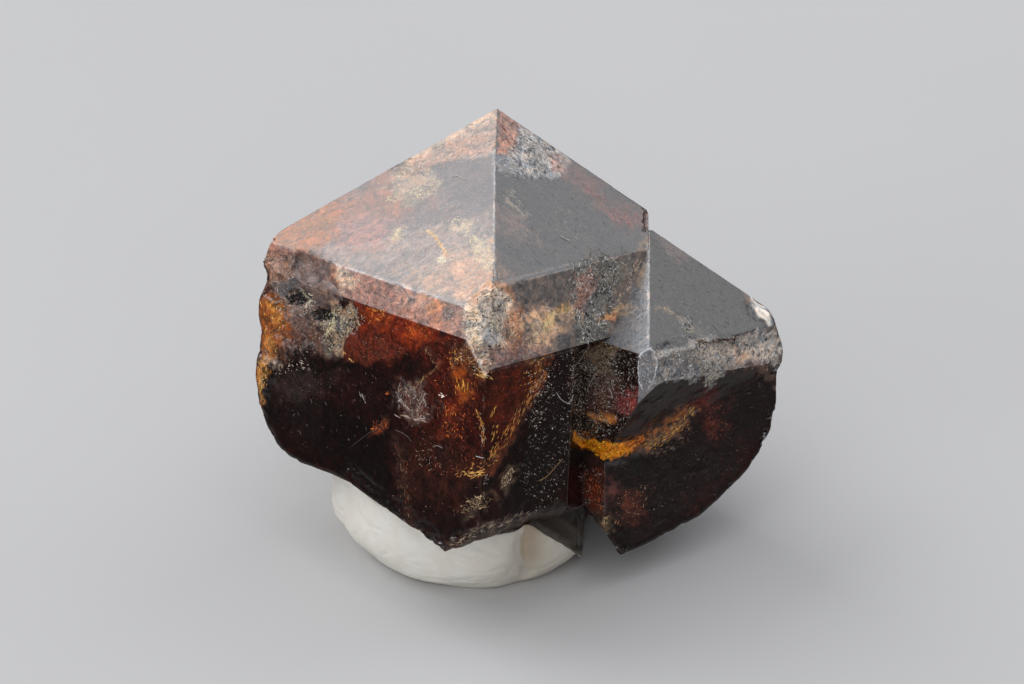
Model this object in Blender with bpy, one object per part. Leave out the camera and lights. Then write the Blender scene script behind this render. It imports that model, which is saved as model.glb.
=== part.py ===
"""Zircon: two crystals grown together with parallel axes, resting on a lump of white putty.

Units are metres, +Z is up, +X right, and the front of the specimen looks towards -Y.
The crystal faces are worked out in the crystal's own frame, in millimetres: its c axis is
local Z, its two equal a axes are local X and Y, and the local origin is the tip of the
larger crystal. Each convex crystal body is a block cut by its face planes.
The origin of the finished model is the middle of the footprint, on the surface it stands on.
"""
import math

import bmesh
import bpy
from mathutils import Euler, Vector, noise

MM = 0.001

# ---- zircon's angles -------------------------------------------------------------------
RHO_PYRAMID = 42.16      # {101} face normal from the c axis, degrees
RHO_STEEP = 69.8         # {301} face normal from the c axis, degrees
FRONT_LEFT, FRONT_RIGHT, BACK_LEFT, BACK_RIGHT = 225.0, 315.0, 135.0, 45.0

# ---- how the pair leans on the putty ------------------------------------------------------
LEAN_BACK, LEAN_RIGHT, TURN = -13.178, 2.5025, -0.1705     # degrees, about X, Y and Z
TIP_HEIGHT = 17.56       # tip of the larger crystal above the resting surface

# ---- larger crystal, millimetres ---------------------------------------------------------
BIG_PRISM = {FRONT_LEFT: 7.03, FRONT_RIGHT: 6.82, BACK_LEFT: 6.62, BACK_RIGHT: 6.75}
BIG_STEEP_AT = {FRONT_LEFT: 6.62, FRONT_RIGHT: 5.75, BACK_LEFT: 6.15, BACK_RIGHT: 6.30}
BIG_SIDE = 9.65          # {100} face on the left corner
BIG_RIGHT = 6.43         # the larger crystal ends here against the smaller one
STEP_X = 3.47            # the front-right prism face of the larger crystal ends here, in a step
STEP_PRISM = 5.85        # and goes on this far from the axis, behind the smaller crystal

# ---- smaller crystal, millimetres --------------------------------------------------------
SMALL_TIP = Vector((6.47, -0.76, -4.63))
SMALL_PRISM = {FRONT_LEFT: 4.10, FRONT_RIGHT: 4.18, BACK_LEFT: 4.10, BACK_RIGHT: 4.06}
SMALL_FRONT = 6.19       # narrow {100} face on the front edge, from the larger crystal's axis

# ---- surface relief --------------------------------------------------------------------
GRAIN = 1.15             # longest edge of the faceted surface, millimetres
PUTTY_GAP = 0.32         # clearance between the crystal and the putty, millimetres

# ---- putty lump, millimetres, on the resting surface --------------------------------------
PUTTY_CENTRE = Vector((-1.35, -2.85, 0.0))
PUTTY_EQUATOR = 1.9      # height of its widest outline
PUTTY_FOOT = 0.84        # footprint as a part of the widest outline
PUTTY_SIDES, PUTTY_RINGS = 48, 9


def facing(azimuth, rho):
    """Unit normal of a face from its azimuth round c and its angle from c, in degrees."""
    a, r = math.radians(azimuth), math.radians(rho)
    return Vector((math.cos(a) * math.sin(r), math.sin(a) * math.sin(r), math.cos(r)))


def face_through(normal, point):
    """A plane as (outward normal, distance from the local origin)."""
    n = Vector(normal).normalized()
    return n, n.dot(Vector(point))


def plane_of(a, b, c, outside):
    """The plane through three points, with `outside` on its outer side."""
    a, b, c = Vector(a), Vector(b), Vector(c)
    n = (b - a).cross(c - a).normalized()
    if n.dot(Vector(outside) - a) < 0:
        n = -n
    return n, n.dot(a)


def block(planes, reach=30.0):
    """A convex body: a block with everything outside each plane cut away."""
    bm = bmesh.new()
    bmesh.ops.create_cube(bm, size=2 * reach)
    for normal, distance in planes:
        geom = bm.verts[:] + bm.edges[:] + bm.faces[:]
        cut = bmesh.ops.bisect_plane(bm, geom=geom, dist=1e-6, plane_co=normal * distance,
                                     plane_no=normal, clear_outer=True)
        rim = [g for g in cut["geom_cut"] if isinstance(g, bmesh.types.BMEdge)]
        if rim:
            bmesh.ops.edgeloop_fill(bm, edges=rim)
    bmesh.ops.recalc_face_normals(bm, faces=bm.faces[:])
    return bm


def guide_object(bm, name):
    mesh = bpy.data.meshes.new(name)
    bm.to_mesh(mesh)
    bm.free()
    obj = bpy.data.objects.new(name, mesh)
    obj.hide_render = True
    obj.display_type = "WIRE"
    bpy.context.scene.collection.objects.link(obj)
    return obj


def united(bodies, hollow):
    """The bodies joined in one closed surface, the first with a hollow cut in it."""
    first, rest = bodies[0], bodies[1:]
    cut = first.modifiers.new("step", "BOOLEAN")
    cut.operation = "DIFFERENCE"
    cut.solver = "EXACT"
    cut.object = hollow
    for body in rest:
        union = first.modifiers.new("grown_together", "BOOLEAN")
        union.operation = "UNION"
        union.solver = "EXACT"
        union.object = body
    bpy.context.view_layer.update()
    graph = bpy.context.evaluated_depsgraph_get()
    mesh = bpy.data.meshes.new_from_object(first.evaluated_get(graph))
    for body in bodies + [hollow]:
        bpy.data.objects.remove(body, do_unlink=True)
    bm = bmesh.new()
    bm.from_mesh(mesh)
    bpy.data.meshes.remove(mesh)
    bmesh.ops.remove_doubles(bm, verts=bm.verts[:], dist=1e-4)
    bmesh.ops.dissolve_limit(bm, angle_limit=math.radians(0.4), verts=bm.verts[:], edges=bm.edges[:])
    return bm


def refine(bm, longest):
    """Splits long edges until the surface is fine enough to carry relief."""
    bmesh.ops.triangulate(bm, faces=bm.faces[:])
    for _ in range(9):
        long_edges = [e for e in bm.edges if e.calc_length() > longest]
        if not long_edges:
            break
        bmesh.ops.subdivide_edges(bm, edges=long_edges, cuts=1, use_grid_fill=False)
        bmesh.ops.triangulate(bm, faces=[f for f in bm.faces if len(f.verts) > 3])


def falloff(point, centre, radius):
    t = (point - Vector(centre)).length / radius
    return 0.0 if t >= 1.0 else (1.0 - t * t) ** 2


# ---- face planes of the larger crystal ------------------------------------------------------
def pyramid(tip):
    return [face_through(facing(az, RHO_PYRAMID), tip) for az in BIG_PRISM]


def steep(azimuth, base):
    """{301} face that starts where the pyramid face is `base` from the axis."""
    a = math.radians(azimuth)
    drop = -base * math.tan(math.radians(RHO_PYRAMID))
    return face_through(facing(azimuth, RHO_STEEP), (base * math.cos(a), base * math.sin(a), drop))


def prism(azimuth, distance, axis=(0, 0, 0)):
    n = facing(azimuth, 90.0)
    return n, n.dot(Vector(axis)) + distance


UNDERSIDE = plane_of((-8.6, -1.36, -14.75), (-1.45, -8.5, -16.45), (0.0, 8.0, -14.35), (0, 0, -40))
LEFT_CHAMFER = face_through((-0.904, 0.0, 0.428), (-8.67, 0.0, -5.14))
LOWER_LEFT_CHAMFER = face_through((-0.866, 0.03, -0.5), (-9.72, -0.32, -12.98))
LOWER_FRONT_BREAK = plane_of((-1.45, -8.5, -16.32), (-0.08, -9.8, -15.03), (2.96, -6.68, -15.03), (3, -12, -20))
FRONT_CHIP = plane_of((-0.977, -8.914, -7.016), (-0.015, -9.70, -8.185), (0.139, -8.101, -5.098), (0, -12, -5))
BACK_CHAMFER = face_through((0.08, 0.93, -0.36), (0.0, 8.9, -11.6))
LEDGE = face_through((0.35, -0.35, -0.87), (4.82, -4.82, -8.2))

big_common = pyramid((0, 0, 0)) + [
    prism(FRONT_LEFT, BIG_PRISM[FRONT_LEFT]),
    prism(BACK_LEFT, BIG_PRISM[BACK_LEFT]),
    prism(BACK_RIGHT, BIG_PRISM[BACK_RIGHT]),
    steep(FRONT_LEFT, BIG_STEEP_AT[FRONT_LEFT]),
    steep(BACK_LEFT, BIG_STEEP_AT[BACK_LEFT]),
    steep(BACK_RIGHT, BIG_STEEP_AT[BACK_RIGHT]),
    (Vector((-1.0, 0.0, 0.0)), BIG_SIDE),
    (Vector((1.0, 0.0, 0.0)), BIG_RIGHT),
    LEFT_CHAMFER, LOWER_LEFT_CHAMFER, UNDERSIDE, LOWER_FRONT_BREAK, BACK_CHAMFER,
]
big = big_common + [
    steep(FRONT_RIGHT, BIG_STEEP_AT[FRONT_RIGHT]),
    prism(FRONT_RIGHT, BIG_PRISM[FRONT_RIGHT]),
    FRONT_CHIP,
]
# The step: right of STEP_X and under the ledge the prism face lies further back.
STEP_FACE = prism(FRONT_RIGHT, STEP_PRISM)
step_hollow = [(Vector((-1.0, 0.0, 0.0)), -STEP_X), (-STEP_FACE[0], -STEP_FACE[1]), (-LEDGE[0], -LEDGE[1])]

# ---- face planes of the smaller crystal -----------------------------------------------------
SMALL_UNDERSIDE = plane_of((5.85, -4.82, -17.55), (7.44, -3.88, -17.50), (7.0, 5.0, -15.4), (7, -3, -30))
small_common = pyramid(SMALL_TIP) + [prism(az, d, SMALL_TIP) for az, d in SMALL_PRISM.items()] + [
    (Vector((0.0, -1.0, 0.0)), SMALL_FRONT),
    plane_of((5.09, -5.18, -16.39), (5.85, -4.82, -17.55), (3.2, 0.4, -15.9), (0, -3, -30)),
    SMALL_UNDERSIDE,
    plane_of((7.44, -3.88, -17.50), (9.25, -2.76, -16.60), (8.6, 3.6, -14.9), (11, 0, -30)),
    plane_of((9.25, -2.76, -16.60), (11.28, -1.43, -14.80), (10.0, 2.6, -13.9), (14, 0, -30)),
    plane_of((11.28, -1.43, -14.80), (12.02, -0.95, -13.3), (11.2, 0.9, -12.6), (16, 0, -30)),
    plane_of((12.02, -0.95, -13.3), (12.30, -0.80, -11.6), (11.6, 0.6, -11.2), (16, 0, -12)),
    face_through((0.0, 0.97, -0.22), (6.0, 4.4, -10.0)),
]
# The upper front is an undercut break, the lower front a steep one: their meeting line is a ledge.
UPPER_BREAK = plane_of((6.712, -6.430, -9.491), (12.161, -0.980, -10.110), (5.265, -5.353, -12.434), (9, -9, -14))
LOWER_BREAK = plane_of((4.94, -5.02, -13.21), (5.09, -5.18, -16.39), (8.42, -2.90, -11.93), (9, -9, -14))
small_upper = small_common + [UPPER_BREAK]
small_lower = small_common + [LOWER_BREAK]

# ---- relief: centre, radius, depth, in the crystal's frame -----------------------------------
BITES = [
    ((-7.5, -2.7, -7.3), 2.6, 0.50),      # broken shoulder on the left
    ((-8.15, -1.9, -8.0), 0.9, 0.45),     # pits below it
    ((-6.75, -3.3, -8.1), 1.0, 0.45),
    ((-0.1, -8.9, -6.6), 1.5, 0.28),      # crusty chip on the front corner
    ((4.9, -3.4, -6.7), 1.9, 0.18),       # crust beside the smaller crystal
    ((9.2, -4.0, -9.4), 1.3, 0.30),       # notch in the crust of the smaller crystal
    ((1.5, -0.9, -1.5), 1.2, 0.12),       # chips right of the tip
    ((-5.2, 5.0, -9.0), 3.2, 0.45),       # shallow shell-shaped break at the back
    ((3.9, 6.0, -12.0), 2.6, 0.50),
    ((10.2, 2.4, -9.0), 1.8, 0.35),
]


def relief(p, n):
    """How far a point of the surface lies below the ideal crystal face, in millimetres."""
    depth = 0.0
    for centre, radius, deep in BITES:
        w = falloff(p, centre, radius)
        if w:
            depth += w * deep * (0.75 + 0.25 * noise.noise(p * 1.9))
    under = max(0.0, -n.z - 0.3) / 0.7
    rough = 0.30 * min(1.0, under * 1.4)
    if rough:
        depth += rough * (0.5 + 0.5 * noise.noise(p * 0.8 + Vector((3.1, 7.7, 1.3))))
    return depth


def slot_material(name, colour, roughness, transmission=0.0, ior=1.45):
    material = bpy.data.materials.new(name)
    material.use_nodes = True
    shader = material.node_tree.nodes["Principled BSDF"]
    shader.inputs["Base Color"].default_value = (*colour, 1.0)
    shader.inputs["Roughness"].default_value = roughness
    shader.inputs["Metallic"].default_value = 0.0
    shader.inputs["Transmission Weight"].default_value = transmission
    shader.inputs["IOR"].default_value = ior
    material.diffuse_color = (*colour, 1.0)
    return material


def build_crystal():
    bodies = [guide_object(block(planes), f"growth_{i}")
              for i, planes in enumerate((big, small_upper, small_lower))]
    bm = united(bodies, guide_object(block(step_hollow), "hollow"))
    refine(bm, GRAIN)
    bm.normal_update()
    moved = []
    for v in bm.verts:
        depth = relief(v.co, v.normal)
        if depth:
            moved.append((v, v.co - v.normal * depth))
    for v, co in moved:
        v.co = co
    bmesh.ops.triangulate(bm, faces=bm.faces[:])
    bmesh.ops.scale(bm, vec=(MM, MM, MM), verts=bm.verts[:])
    mesh = bpy.data.meshes.new("zircon_crystal")
    bm.to_mesh(mesh)
    bm.free()
    obj = bpy.data.objects.new("zircon_crystal", mesh)
    obj.rotation_euler = Euler([math.radians(a) for a in (LEAN_BACK, LEAN_RIGHT, TURN)], "XYZ")
    obj.location = Vector((-0.613, 1.0, TIP_HEIGHT)) * MM
    mesh.materials.append(slot_material("zircon", (0.22, 0.045, 0.018), 0.12, 0.6, 1.95))
    bpy.context.scene.collection.objects.link(obj)
    return obj


def putty_outline(angle):
    """Widest outline of the putty, as a distance from its centre."""
    r = 5.95 + 0.35 * math.cos(angle - math.radians(268)) + 0.12 * math.cos(3 * angle + 0.7)
    corner = math.radians(324)
    off = math.atan2(math.sin(angle - corner), math.cos(angle - corner))
    r += 0.55 * math.exp(-(off / 0.20) ** 2) - 0.75 * math.exp(-((off - 0.62) / 0.34) ** 2)
    crease = math.radians(296)
    off = math.atan2(math.sin(angle - crease), math.cos(angle - crease))
    r -= 0.22 * math.exp(-(off / 0.10) ** 2)
    return r


def putty_profile(height):
    """Width of the putty at a height, as a part of its widest outline."""
    if height < PUTTY_EQUATOR:
        t = 1.0 - height / PUTTY_EQUATOR
        return 1.0 - (1.0 - PUTTY_FOOT) * t ** 2.2
    t = (height - PUTTY_EQUATOR) / 5.0
    return 1.0 - 0.10 * t * t


def build_putty(crystal):
    bm = bmesh.new()
    rings = []
    for j in range(PUTTY_RINGS):
        h = 5.6 * (j / (PUTTY_RINGS - 1)) ** 1.2
        ring = []
        for i in range(PUTTY_SIDES):
            a = 2 * math.pi * i / PUTTY_SIDES
            r = putty_outline(a) * putty_profile(h)
            p = PUTTY_CENTRE + Vector((r * math.cos(a), r * math.sin(a), h))
            ring.append(bm.verts.new(p))
        rings.append(ring)
    for low, high in zip(rings, rings[1:]):
        for i in range(PUTTY_SIDES):
            k = (i + 1) % PUTTY_SIDES
            bm.faces.new((low[i], low[k], high[k], high[i]))
    bm.faces.new(list(reversed(rings[0])))
    bm.faces.new(rings[-1])
    # The right end slopes away, and the top is pressed to the shape of the crystal's underside.
    n, d = face_through((0.60, -0.05, 0.80), (3.05, -6.2, 0.85))
    geom = bm.verts[:] + bm.edges[:] + bm.faces[:]
    cut = bmesh.ops.bisect_plane(bm, geom=geom, dist=1e-6, plane_co=n * d, plane_no=n, clear_outer=True)
    bmesh.ops.edgeloop_fill(bm, edges=[g for g in cut["geom_cut"] if isinstance(g, bmesh.types.BMEdge)])
    bmesh.ops.recalc_face_normals(bm, faces=bm.faces[:])
    lump = guide_object(bm, "lump")
    for i, planes in enumerate((big, small_lower, small_upper)):
        press = guide_object(block([(n, d + PUTTY_GAP) for n, d in planes]), f"press_{i}")
        press.location = crystal.location / MM
        press.rotation_euler = crystal.rotation_euler
        dent = lump.modifiers.new(f"dent_{i}", "BOOLEAN")
        dent.operation = "DIFFERENCE"
        dent.solver = "EXACT"
        dent.object = press
    bpy.context.view_layer.update()
    graph = bpy.context.evaluated_depsgraph_get()
    pressed = bpy.data.meshes.new_from_object(lump.evaluated_get(graph))
    for guide in [lump] + [m.object for m in lump.modifiers]:
        bpy.data.objects.remove(guide, do_unlink=True)
    bm = bmesh.new()
    bm.from_mesh(pressed)
    bpy.data.meshes.remove(pressed)
    bmesh.ops.remove_doubles(bm, verts=bm.verts[:], dist=0.01)
    bmesh.ops.triangulate(bm, faces=bm.faces[:])
    bmesh.ops.scale(bm, vec=(MM, MM, MM), verts=bm.verts[:])
    mesh = bpy.data.meshes.new("putty_base")
    bm.to_mesh(mesh)
    bm.free()
    obj = bpy.data.objects.new("putty_base", mesh)
    mesh.materials.append(slot_material("putty", (0.74, 0.70, 0.62), 0.55))
    bpy.context.scene.collection.objects.link(obj)
    return obj


def centre_on_footprint(objects):
    """Moves the model so that the middle of its box, at its lowest level, is the origin."""
    bpy.context.view_layer.update()
    points = [o.matrix_world @ v.co for o in objects for v in o.data.vertices]
    low = Vector([min(p[i] for p in points) for i in range(3)])
    high = Vector([max(p[i] for p in points) for i in range(3)])
    shift = Vector((-(low.x + high.x) / 2, -(low.y + high.y) / 2, -low.z))
    for o in objects:
        o.location += shift
    bpy.context.view_layer.update()
    return shift


for leftover in list(bpy.data.objects):
    bpy.data.objects.remove(leftover, do_unlink=True)
zircon = build_crystal()
putty = build_putty(zircon)
centre_on_footprint([zircon, putty])
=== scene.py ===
"""Looks of the zircon specimen: two crystals grown together on a lump of white putty.

Lengths in the comments and constants are millimetres unless they say otherwise, and colours are
linear. The crystal's surface is worked out in the crystal's own frame (c axis is local Z, origin at
the tip of the larger crystal), which is the frame its CAD solid was cut in.
"""
import math
import random

import bmesh
import bpy
import numpy as np
from mathutils import Euler, Matrix, Vector, noise
from mathutils.bvhtree import BVHTree
from mathutils.geometry import delaunay_2d_cdt
from mathutils.kdtree import KDTree


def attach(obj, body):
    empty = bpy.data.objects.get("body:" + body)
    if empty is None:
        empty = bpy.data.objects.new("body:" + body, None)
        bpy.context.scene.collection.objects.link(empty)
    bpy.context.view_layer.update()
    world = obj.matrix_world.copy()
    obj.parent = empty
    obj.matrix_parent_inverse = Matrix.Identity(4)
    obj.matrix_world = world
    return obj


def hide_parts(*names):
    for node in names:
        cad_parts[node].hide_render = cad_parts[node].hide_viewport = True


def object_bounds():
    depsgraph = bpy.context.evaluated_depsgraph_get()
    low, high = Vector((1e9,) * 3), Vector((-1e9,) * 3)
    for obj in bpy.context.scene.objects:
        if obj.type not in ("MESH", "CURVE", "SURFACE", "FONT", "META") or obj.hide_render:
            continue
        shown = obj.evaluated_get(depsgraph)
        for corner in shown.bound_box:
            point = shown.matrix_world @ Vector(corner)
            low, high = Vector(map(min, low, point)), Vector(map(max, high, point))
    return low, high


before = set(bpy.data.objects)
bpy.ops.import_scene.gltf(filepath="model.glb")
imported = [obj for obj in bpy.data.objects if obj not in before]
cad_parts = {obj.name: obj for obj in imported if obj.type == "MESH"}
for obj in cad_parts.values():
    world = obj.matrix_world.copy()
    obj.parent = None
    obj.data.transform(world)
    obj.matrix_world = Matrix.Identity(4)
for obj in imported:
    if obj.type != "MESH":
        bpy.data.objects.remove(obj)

MM = 0.001
cad_low, cad_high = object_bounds()

# ======================================================================================
# Camera
# ======================================================================================
PHOTO_W, PHOTO_H = 1024, 684
ELEVATION = math.radians(31.0)
DISTANCE = 240.0
PX_PER_MM = 24.0
TARGET = np.array((-0.2484, 1.6605, 7.003))
SIN_E, COS_E = math.sin(ELEVATION), math.cos(ELEVATION)
CAM_RIGHT = np.array((1.0, 0.0, 0.0))
CAM_UP = np.array((0.0, SIN_E, COS_E))
CAM_BACK = np.array((0.0, -COS_E, SIN_E))
CAM_POS = TARGET + CAM_BACK * DISTANCE
FOCAL = PX_PER_MM * DISTANCE


def to_pixels(points):
    d = points - CAM_POS
    depth = -(d @ CAM_BACK)
    return PHOTO_W / 2 + FOCAL * (d @ CAM_RIGHT) / depth, PHOTO_H / 2 - FOCAL * (d @ CAM_UP) / depth


def pixel_ray(u, v):
    d = CAM_RIGHT * (u - PHOTO_W / 2) / FOCAL + CAM_UP * (PHOTO_H / 2 - v) / FOCAL - CAM_BACK
    return Vector(CAM_POS), Vector(d).normalized()


camera_data = bpy.data.cameras.new("specimen_camera")
camera_data.sensor_width = 36.0
camera_data.lens = 36.0 * FOCAL / PHOTO_W
camera_data.clip_start, camera_data.clip_end = 0.01, 10.0
camera = bpy.data.objects.new("specimen_camera", camera_data)
camera.location = Vector(CAM_POS) * MM
camera.rotation_euler = (math.pi / 2 - ELEVATION, 0.0, 0.0)
bpy.context.scene.collection.objects.link(camera)
bpy.context.scene.camera = camera

# ======================================================================================
# Crystal faces, in the crystal's frame
# ======================================================================================
RHO_PYRAMID, RHO_STEEP = 42.16, 69.8
FRONT_LEFT, FRONT_RIGHT, BACK_LEFT, BACK_RIGHT = 225.0, 315.0, 135.0, 45.0
CRYSTAL = Matrix.Translation(Vector((-0.8614, 2.6605, 17.56))) @ Euler(
    [math.radians(a) for a in (-13.178, 2.5025, -0.1705)], "XYZ").to_matrix().to_4x4()
CRYSTAL_R = np.array(CRYSTAL.to_3x3())
CRYSTAL_T = np.array(CRYSTAL.translation)

BIG_PRISM = {FRONT_LEFT: 7.03, FRONT_RIGHT: 6.82, BACK_LEFT: 6.62, BACK_RIGHT: 6.75}
BIG_STEEP_AT = {FRONT_LEFT: 6.62, FRONT_RIGHT: 5.75, BACK_LEFT: 6.15, BACK_RIGHT: 6.30}
BIG_SIDE, BIG_RIGHT, STEP_X, STEP_PRISM = 9.65, 6.43, 3.47, 5.85
SMALL_TIP = Vector((6.47, -0.76, -4.63))
SMALL_PRISM = {FRONT_LEFT: 4.10, FRONT_RIGHT: 4.18, BACK_LEFT: 4.10, BACK_RIGHT: 4.06}
SMALL_FRONT = 6.19


def facing(azimuth, rho):
    a, r = math.radians(azimuth), math.radians(rho)
    return Vector((math.cos(a) * math.sin(r), math.sin(a) * math.sin(r), math.cos(r)))


def face_through(normal, point):
    n = Vector(normal).normalized()
    return n, n.dot(Vector(point))


def plane_of(a, b, c, outside):
    a, b, c = Vector(a), Vector(b), Vector(c)
    n = (b - a).cross(c - a).normalized()
    if n.dot(Vector(outside) - a) < 0:
        n = -n
    return n, n.dot(a)


def steep(azimuth, base):
    a = math.radians(azimuth)
    drop = -base * math.tan(math.radians(RHO_PYRAMID))
    return face_through(facing(azimuth, RHO_STEEP), (base * math.cos(a), base * math.sin(a), drop))


def prism(azimuth, distance, axis=(0, 0, 0)):
    n = facing(azimuth, 90.0)
    return n, n.dot(Vector(axis)) + distance


FACES = {
    "PL": face_through(facing(FRONT_LEFT, RHO_PYRAMID), (0, 0, 0)),
    "PR": face_through(facing(FRONT_RIGHT, RHO_PYRAMID), (0, 0, 0)),
    "PBL": face_through(facing(BACK_LEFT, RHO_PYRAMID), (0, 0, 0)),
    "PBR": face_through(facing(BACK_RIGHT, RHO_PYRAMID), (0, 0, 0)),
    "SL": steep(FRONT_LEFT, BIG_STEEP_AT[FRONT_LEFT]),
    "SR": steep(FRONT_RIGHT, BIG_STEEP_AT[FRONT_RIGHT]),
    "SBL": steep(BACK_LEFT, BIG_STEEP_AT[BACK_LEFT]),
    "SBR": steep(BACK_RIGHT, BIG_STEEP_AT[BACK_RIGHT]),
    "ML": prism(FRONT_LEFT, BIG_PRISM[FRONT_LEFT]),
    "MR": prism(FRONT_RIGHT, BIG_PRISM[FRONT_RIGHT]),
    "MBL": prism(BACK_LEFT, BIG_PRISM[BACK_LEFT]),
    "MBR": prism(BACK_RIGHT, BIG_PRISM[BACK_RIGHT]),
    "MR2": prism(FRONT_RIGHT, STEP_PRISM),
    "SIDE": (Vector((-1.0, 0.0, 0.0)), BIG_SIDE),
    "RIGHT": (Vector((1.0, 0.0, 0.0)), BIG_RIGHT),
    "STEP": (Vector((1.0, 0.0, 0.0)), STEP_X),
    "LC": face_through((-0.904, 0.0, 0.428), (-8.67, 0.0, -5.14)),
    "LLC": face_through((-0.866, 0.03, -0.5), (-9.72, -0.32, -12.98)),
    "UNDER": plane_of((-8.6, -1.36, -14.75), (-1.45, -8.5, -16.45), (0.0, 8.0, -14.35), (0, 0, -40)),
    "LFB": plane_of((-1.45, -8.5, -16.32), (-0.08, -9.8, -15.03), (2.96, -6.68, -15.03), (3, -12, -20)),
    "CHIP": plane_of((-0.977, -8.914, -7.016), (-0.015, -9.70, -8.185), (0.139, -8.101, -5.098), (0, -12, -5)),
    "BC": face_through((0.08, 0.93, -0.36), (0.0, 8.9, -11.6)),
    "LEDGE": face_through((0.35, -0.35, -0.87), (4.82, -4.82, -8.2)),
    "NL": face_through(facing(FRONT_LEFT, RHO_PYRAMID), SMALL_TIP),
    "NR": face_through(facing(FRONT_RIGHT, RHO_PYRAMID), SMALL_TIP),
    "NBL": face_through(facing(BACK_LEFT, RHO_PYRAMID), SMALL_TIP),
    "NBR": face_through(facing(BACK_RIGHT, RHO_PYRAMID), SMALL_TIP),
    "NPL": prism(FRONT_LEFT, SMALL_PRISM[FRONT_LEFT], SMALL_TIP),
    "NPR": prism(FRONT_RIGHT, SMALL_PRISM[FRONT_RIGHT], SMALL_TIP),
    "NPBL": prism(BACK_LEFT, SMALL_PRISM[BACK_LEFT], SMALL_TIP),
    "NPBR": prism(BACK_RIGHT, SMALL_PRISM[BACK_RIGHT], SMALL_TIP),
    "NF": (Vector((0.0, -1.0, 0.0)), SMALL_FRONT),
    "NU1": plane_of((5.09, -5.18, -16.39), (5.85, -4.82, -17.55), (3.2, 0.4, -15.9), (0, -3, -30)),
    "NU2": plane_of((5.85, -4.82, -17.55), (7.44, -3.88, -17.50), (7.0, 5.0, -15.4), (7, -3, -30)),
    "NU3": plane_of((7.44, -3.88, -17.50), (9.25, -2.76, -16.60), (8.6, 3.6, -14.9), (11, 0, -30)),
    "NU4": plane_of((9.25, -2.76, -16.60), (11.28, -1.43, -14.80), (10.0, 2.6, -13.9), (14, 0, -30)),
    "NU5": plane_of((11.28, -1.43, -14.80), (12.02, -0.95, -13.3), (11.2, 0.9, -12.6), (16, 0, -30)),
    "NU6": plane_of((12.02, -0.95, -13.3), (12.30, -0.80, -11.6), (11.6, 0.6, -11.2), (16, 0, -12)),
    "NBK": face_through((0.0, 0.97, -0.22), (6.0, 4.4, -10.0)),
    "K": plane_of((6.712, -6.430, -9.491), (12.161, -0.980, -10.110), (5.265, -5.353, -12.434), (9, -9, -14)),
    "K2": plane_of((4.94, -5.02, -13.21), (5.09, -5.18, -16.39), (8.42, -2.90, -11.93), (9, -9, -14)),
}
BIG_COMMON = ("PL", "PR", "PBL", "PBR", "ML", "MBL", "MBR", "SL", "SBL", "SBR",
              "SIDE", "RIGHT", "LC", "LLC", "UNDER", "LFB", "BC")
SMALL_COMMON = ("NL", "NR", "NBL", "NBR", "NPL", "NPR", "NPBL", "NPBR", "NF",
                "NU1", "NU2", "NU3", "NU4", "NU5", "NU6", "NBK")
BODIES = (BIG_COMMON + ("SR", "MR", "CHIP"), SMALL_COMMON + ("K",), SMALL_COMMON + ("K2",))
HOLLOW = ("STEP", "MR2", "LEDGE")       # the step: what lies outside all three is cut away
NAMES = list(FACES)


def block(planes, reach=30.0):
    bm = bmesh.new()
    bmesh.ops.create_cube(bm, size=2 * reach)
    for normal, distance in planes:
        geom = bm.verts[:] + bm.edges[:] + bm.faces[:]
        cut = bmesh.ops.bisect_plane(bm, geom=geom, dist=1e-6, plane_co=normal * distance,
                                     plane_no=normal, clear_outer=True)
        rim = [g for g in cut["geom_cut"] if isinstance(g, bmesh.types.BMEdge)]
        if rim:
            bmesh.ops.edgeloop_fill(bm, edges=rim)
    bmesh.ops.recalc_face_normals(bm, faces=bm.faces[:])
    return bm


def ideal_crystal():
    """The crystal pair with perfect flat faces, as one closed bmesh of polygons."""
    objects = []
    blocks = [block([FACES[n] for n in names]) for names in BODIES]
    blocks.append(block([(-FACES[n][0], -FACES[n][1]) for n in HOLLOW]))
    for i, bm in enumerate(blocks):
        mesh = bpy.data.meshes.new(f"growth_{i}")
        bm.to_mesh(mesh)
        bm.free()
        obj = bpy.data.objects.new(f"growth_{i}", mesh)
        bpy.context.scene.collection.objects.link(obj)
        objects.append(obj)
    for other in [objects[-1]] + objects[1:-1]:
        step = objects[0].modifiers.new("grown_together", "BOOLEAN")
        step.operation = "DIFFERENCE" if other is objects[-1] else "UNION"
        step.solver, step.object = "EXACT", other
    bpy.context.view_layer.update()
    graph = bpy.context.evaluated_depsgraph_get()
    joined = bpy.data.meshes.new_from_object(objects[0].evaluated_get(graph))
    for obj in objects:
        bpy.data.objects.remove(obj, do_unlink=True)
    bm = bmesh.new()
    bm.from_mesh(joined)
    bpy.data.meshes.remove(joined)
    for _ in range(2):      # takes out the seams and slivers on shared planes
        bmesh.ops.remove_doubles(bm, verts=bm.verts[:], dist=0.003)
        bmesh.ops.dissolve_degenerate(bm, dist=0.003, edges=bm.edges[:])
        bmesh.ops.dissolve_limit(bm, angle_limit=math.radians(0.4), verts=bm.verts[:], edges=bm.edges[:])
        bmesh.ops.delete(bm, geom=[e for e in bm.edges if not e.link_faces], context="EDGES")
        bmesh.ops.delete(bm, geom=[v for v in bm.verts if not v.link_faces], context="VERTS")
    bm.normal_update()
    bm.verts.index_update()
    bm.edges.index_update()
    bm.faces.index_update()
    return bm


def face_name(face):
    """Which crystal face a polygon lies on."""
    best, found = 1e9, "UNDER"
    for name, (n, d) in FACES.items():
        off = (1.0 - face.normal.dot(n)) * 50 + abs(n.dot(face.calc_center_median()) - d)
        if off < best:
            best, found = off, name
    return found


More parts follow.
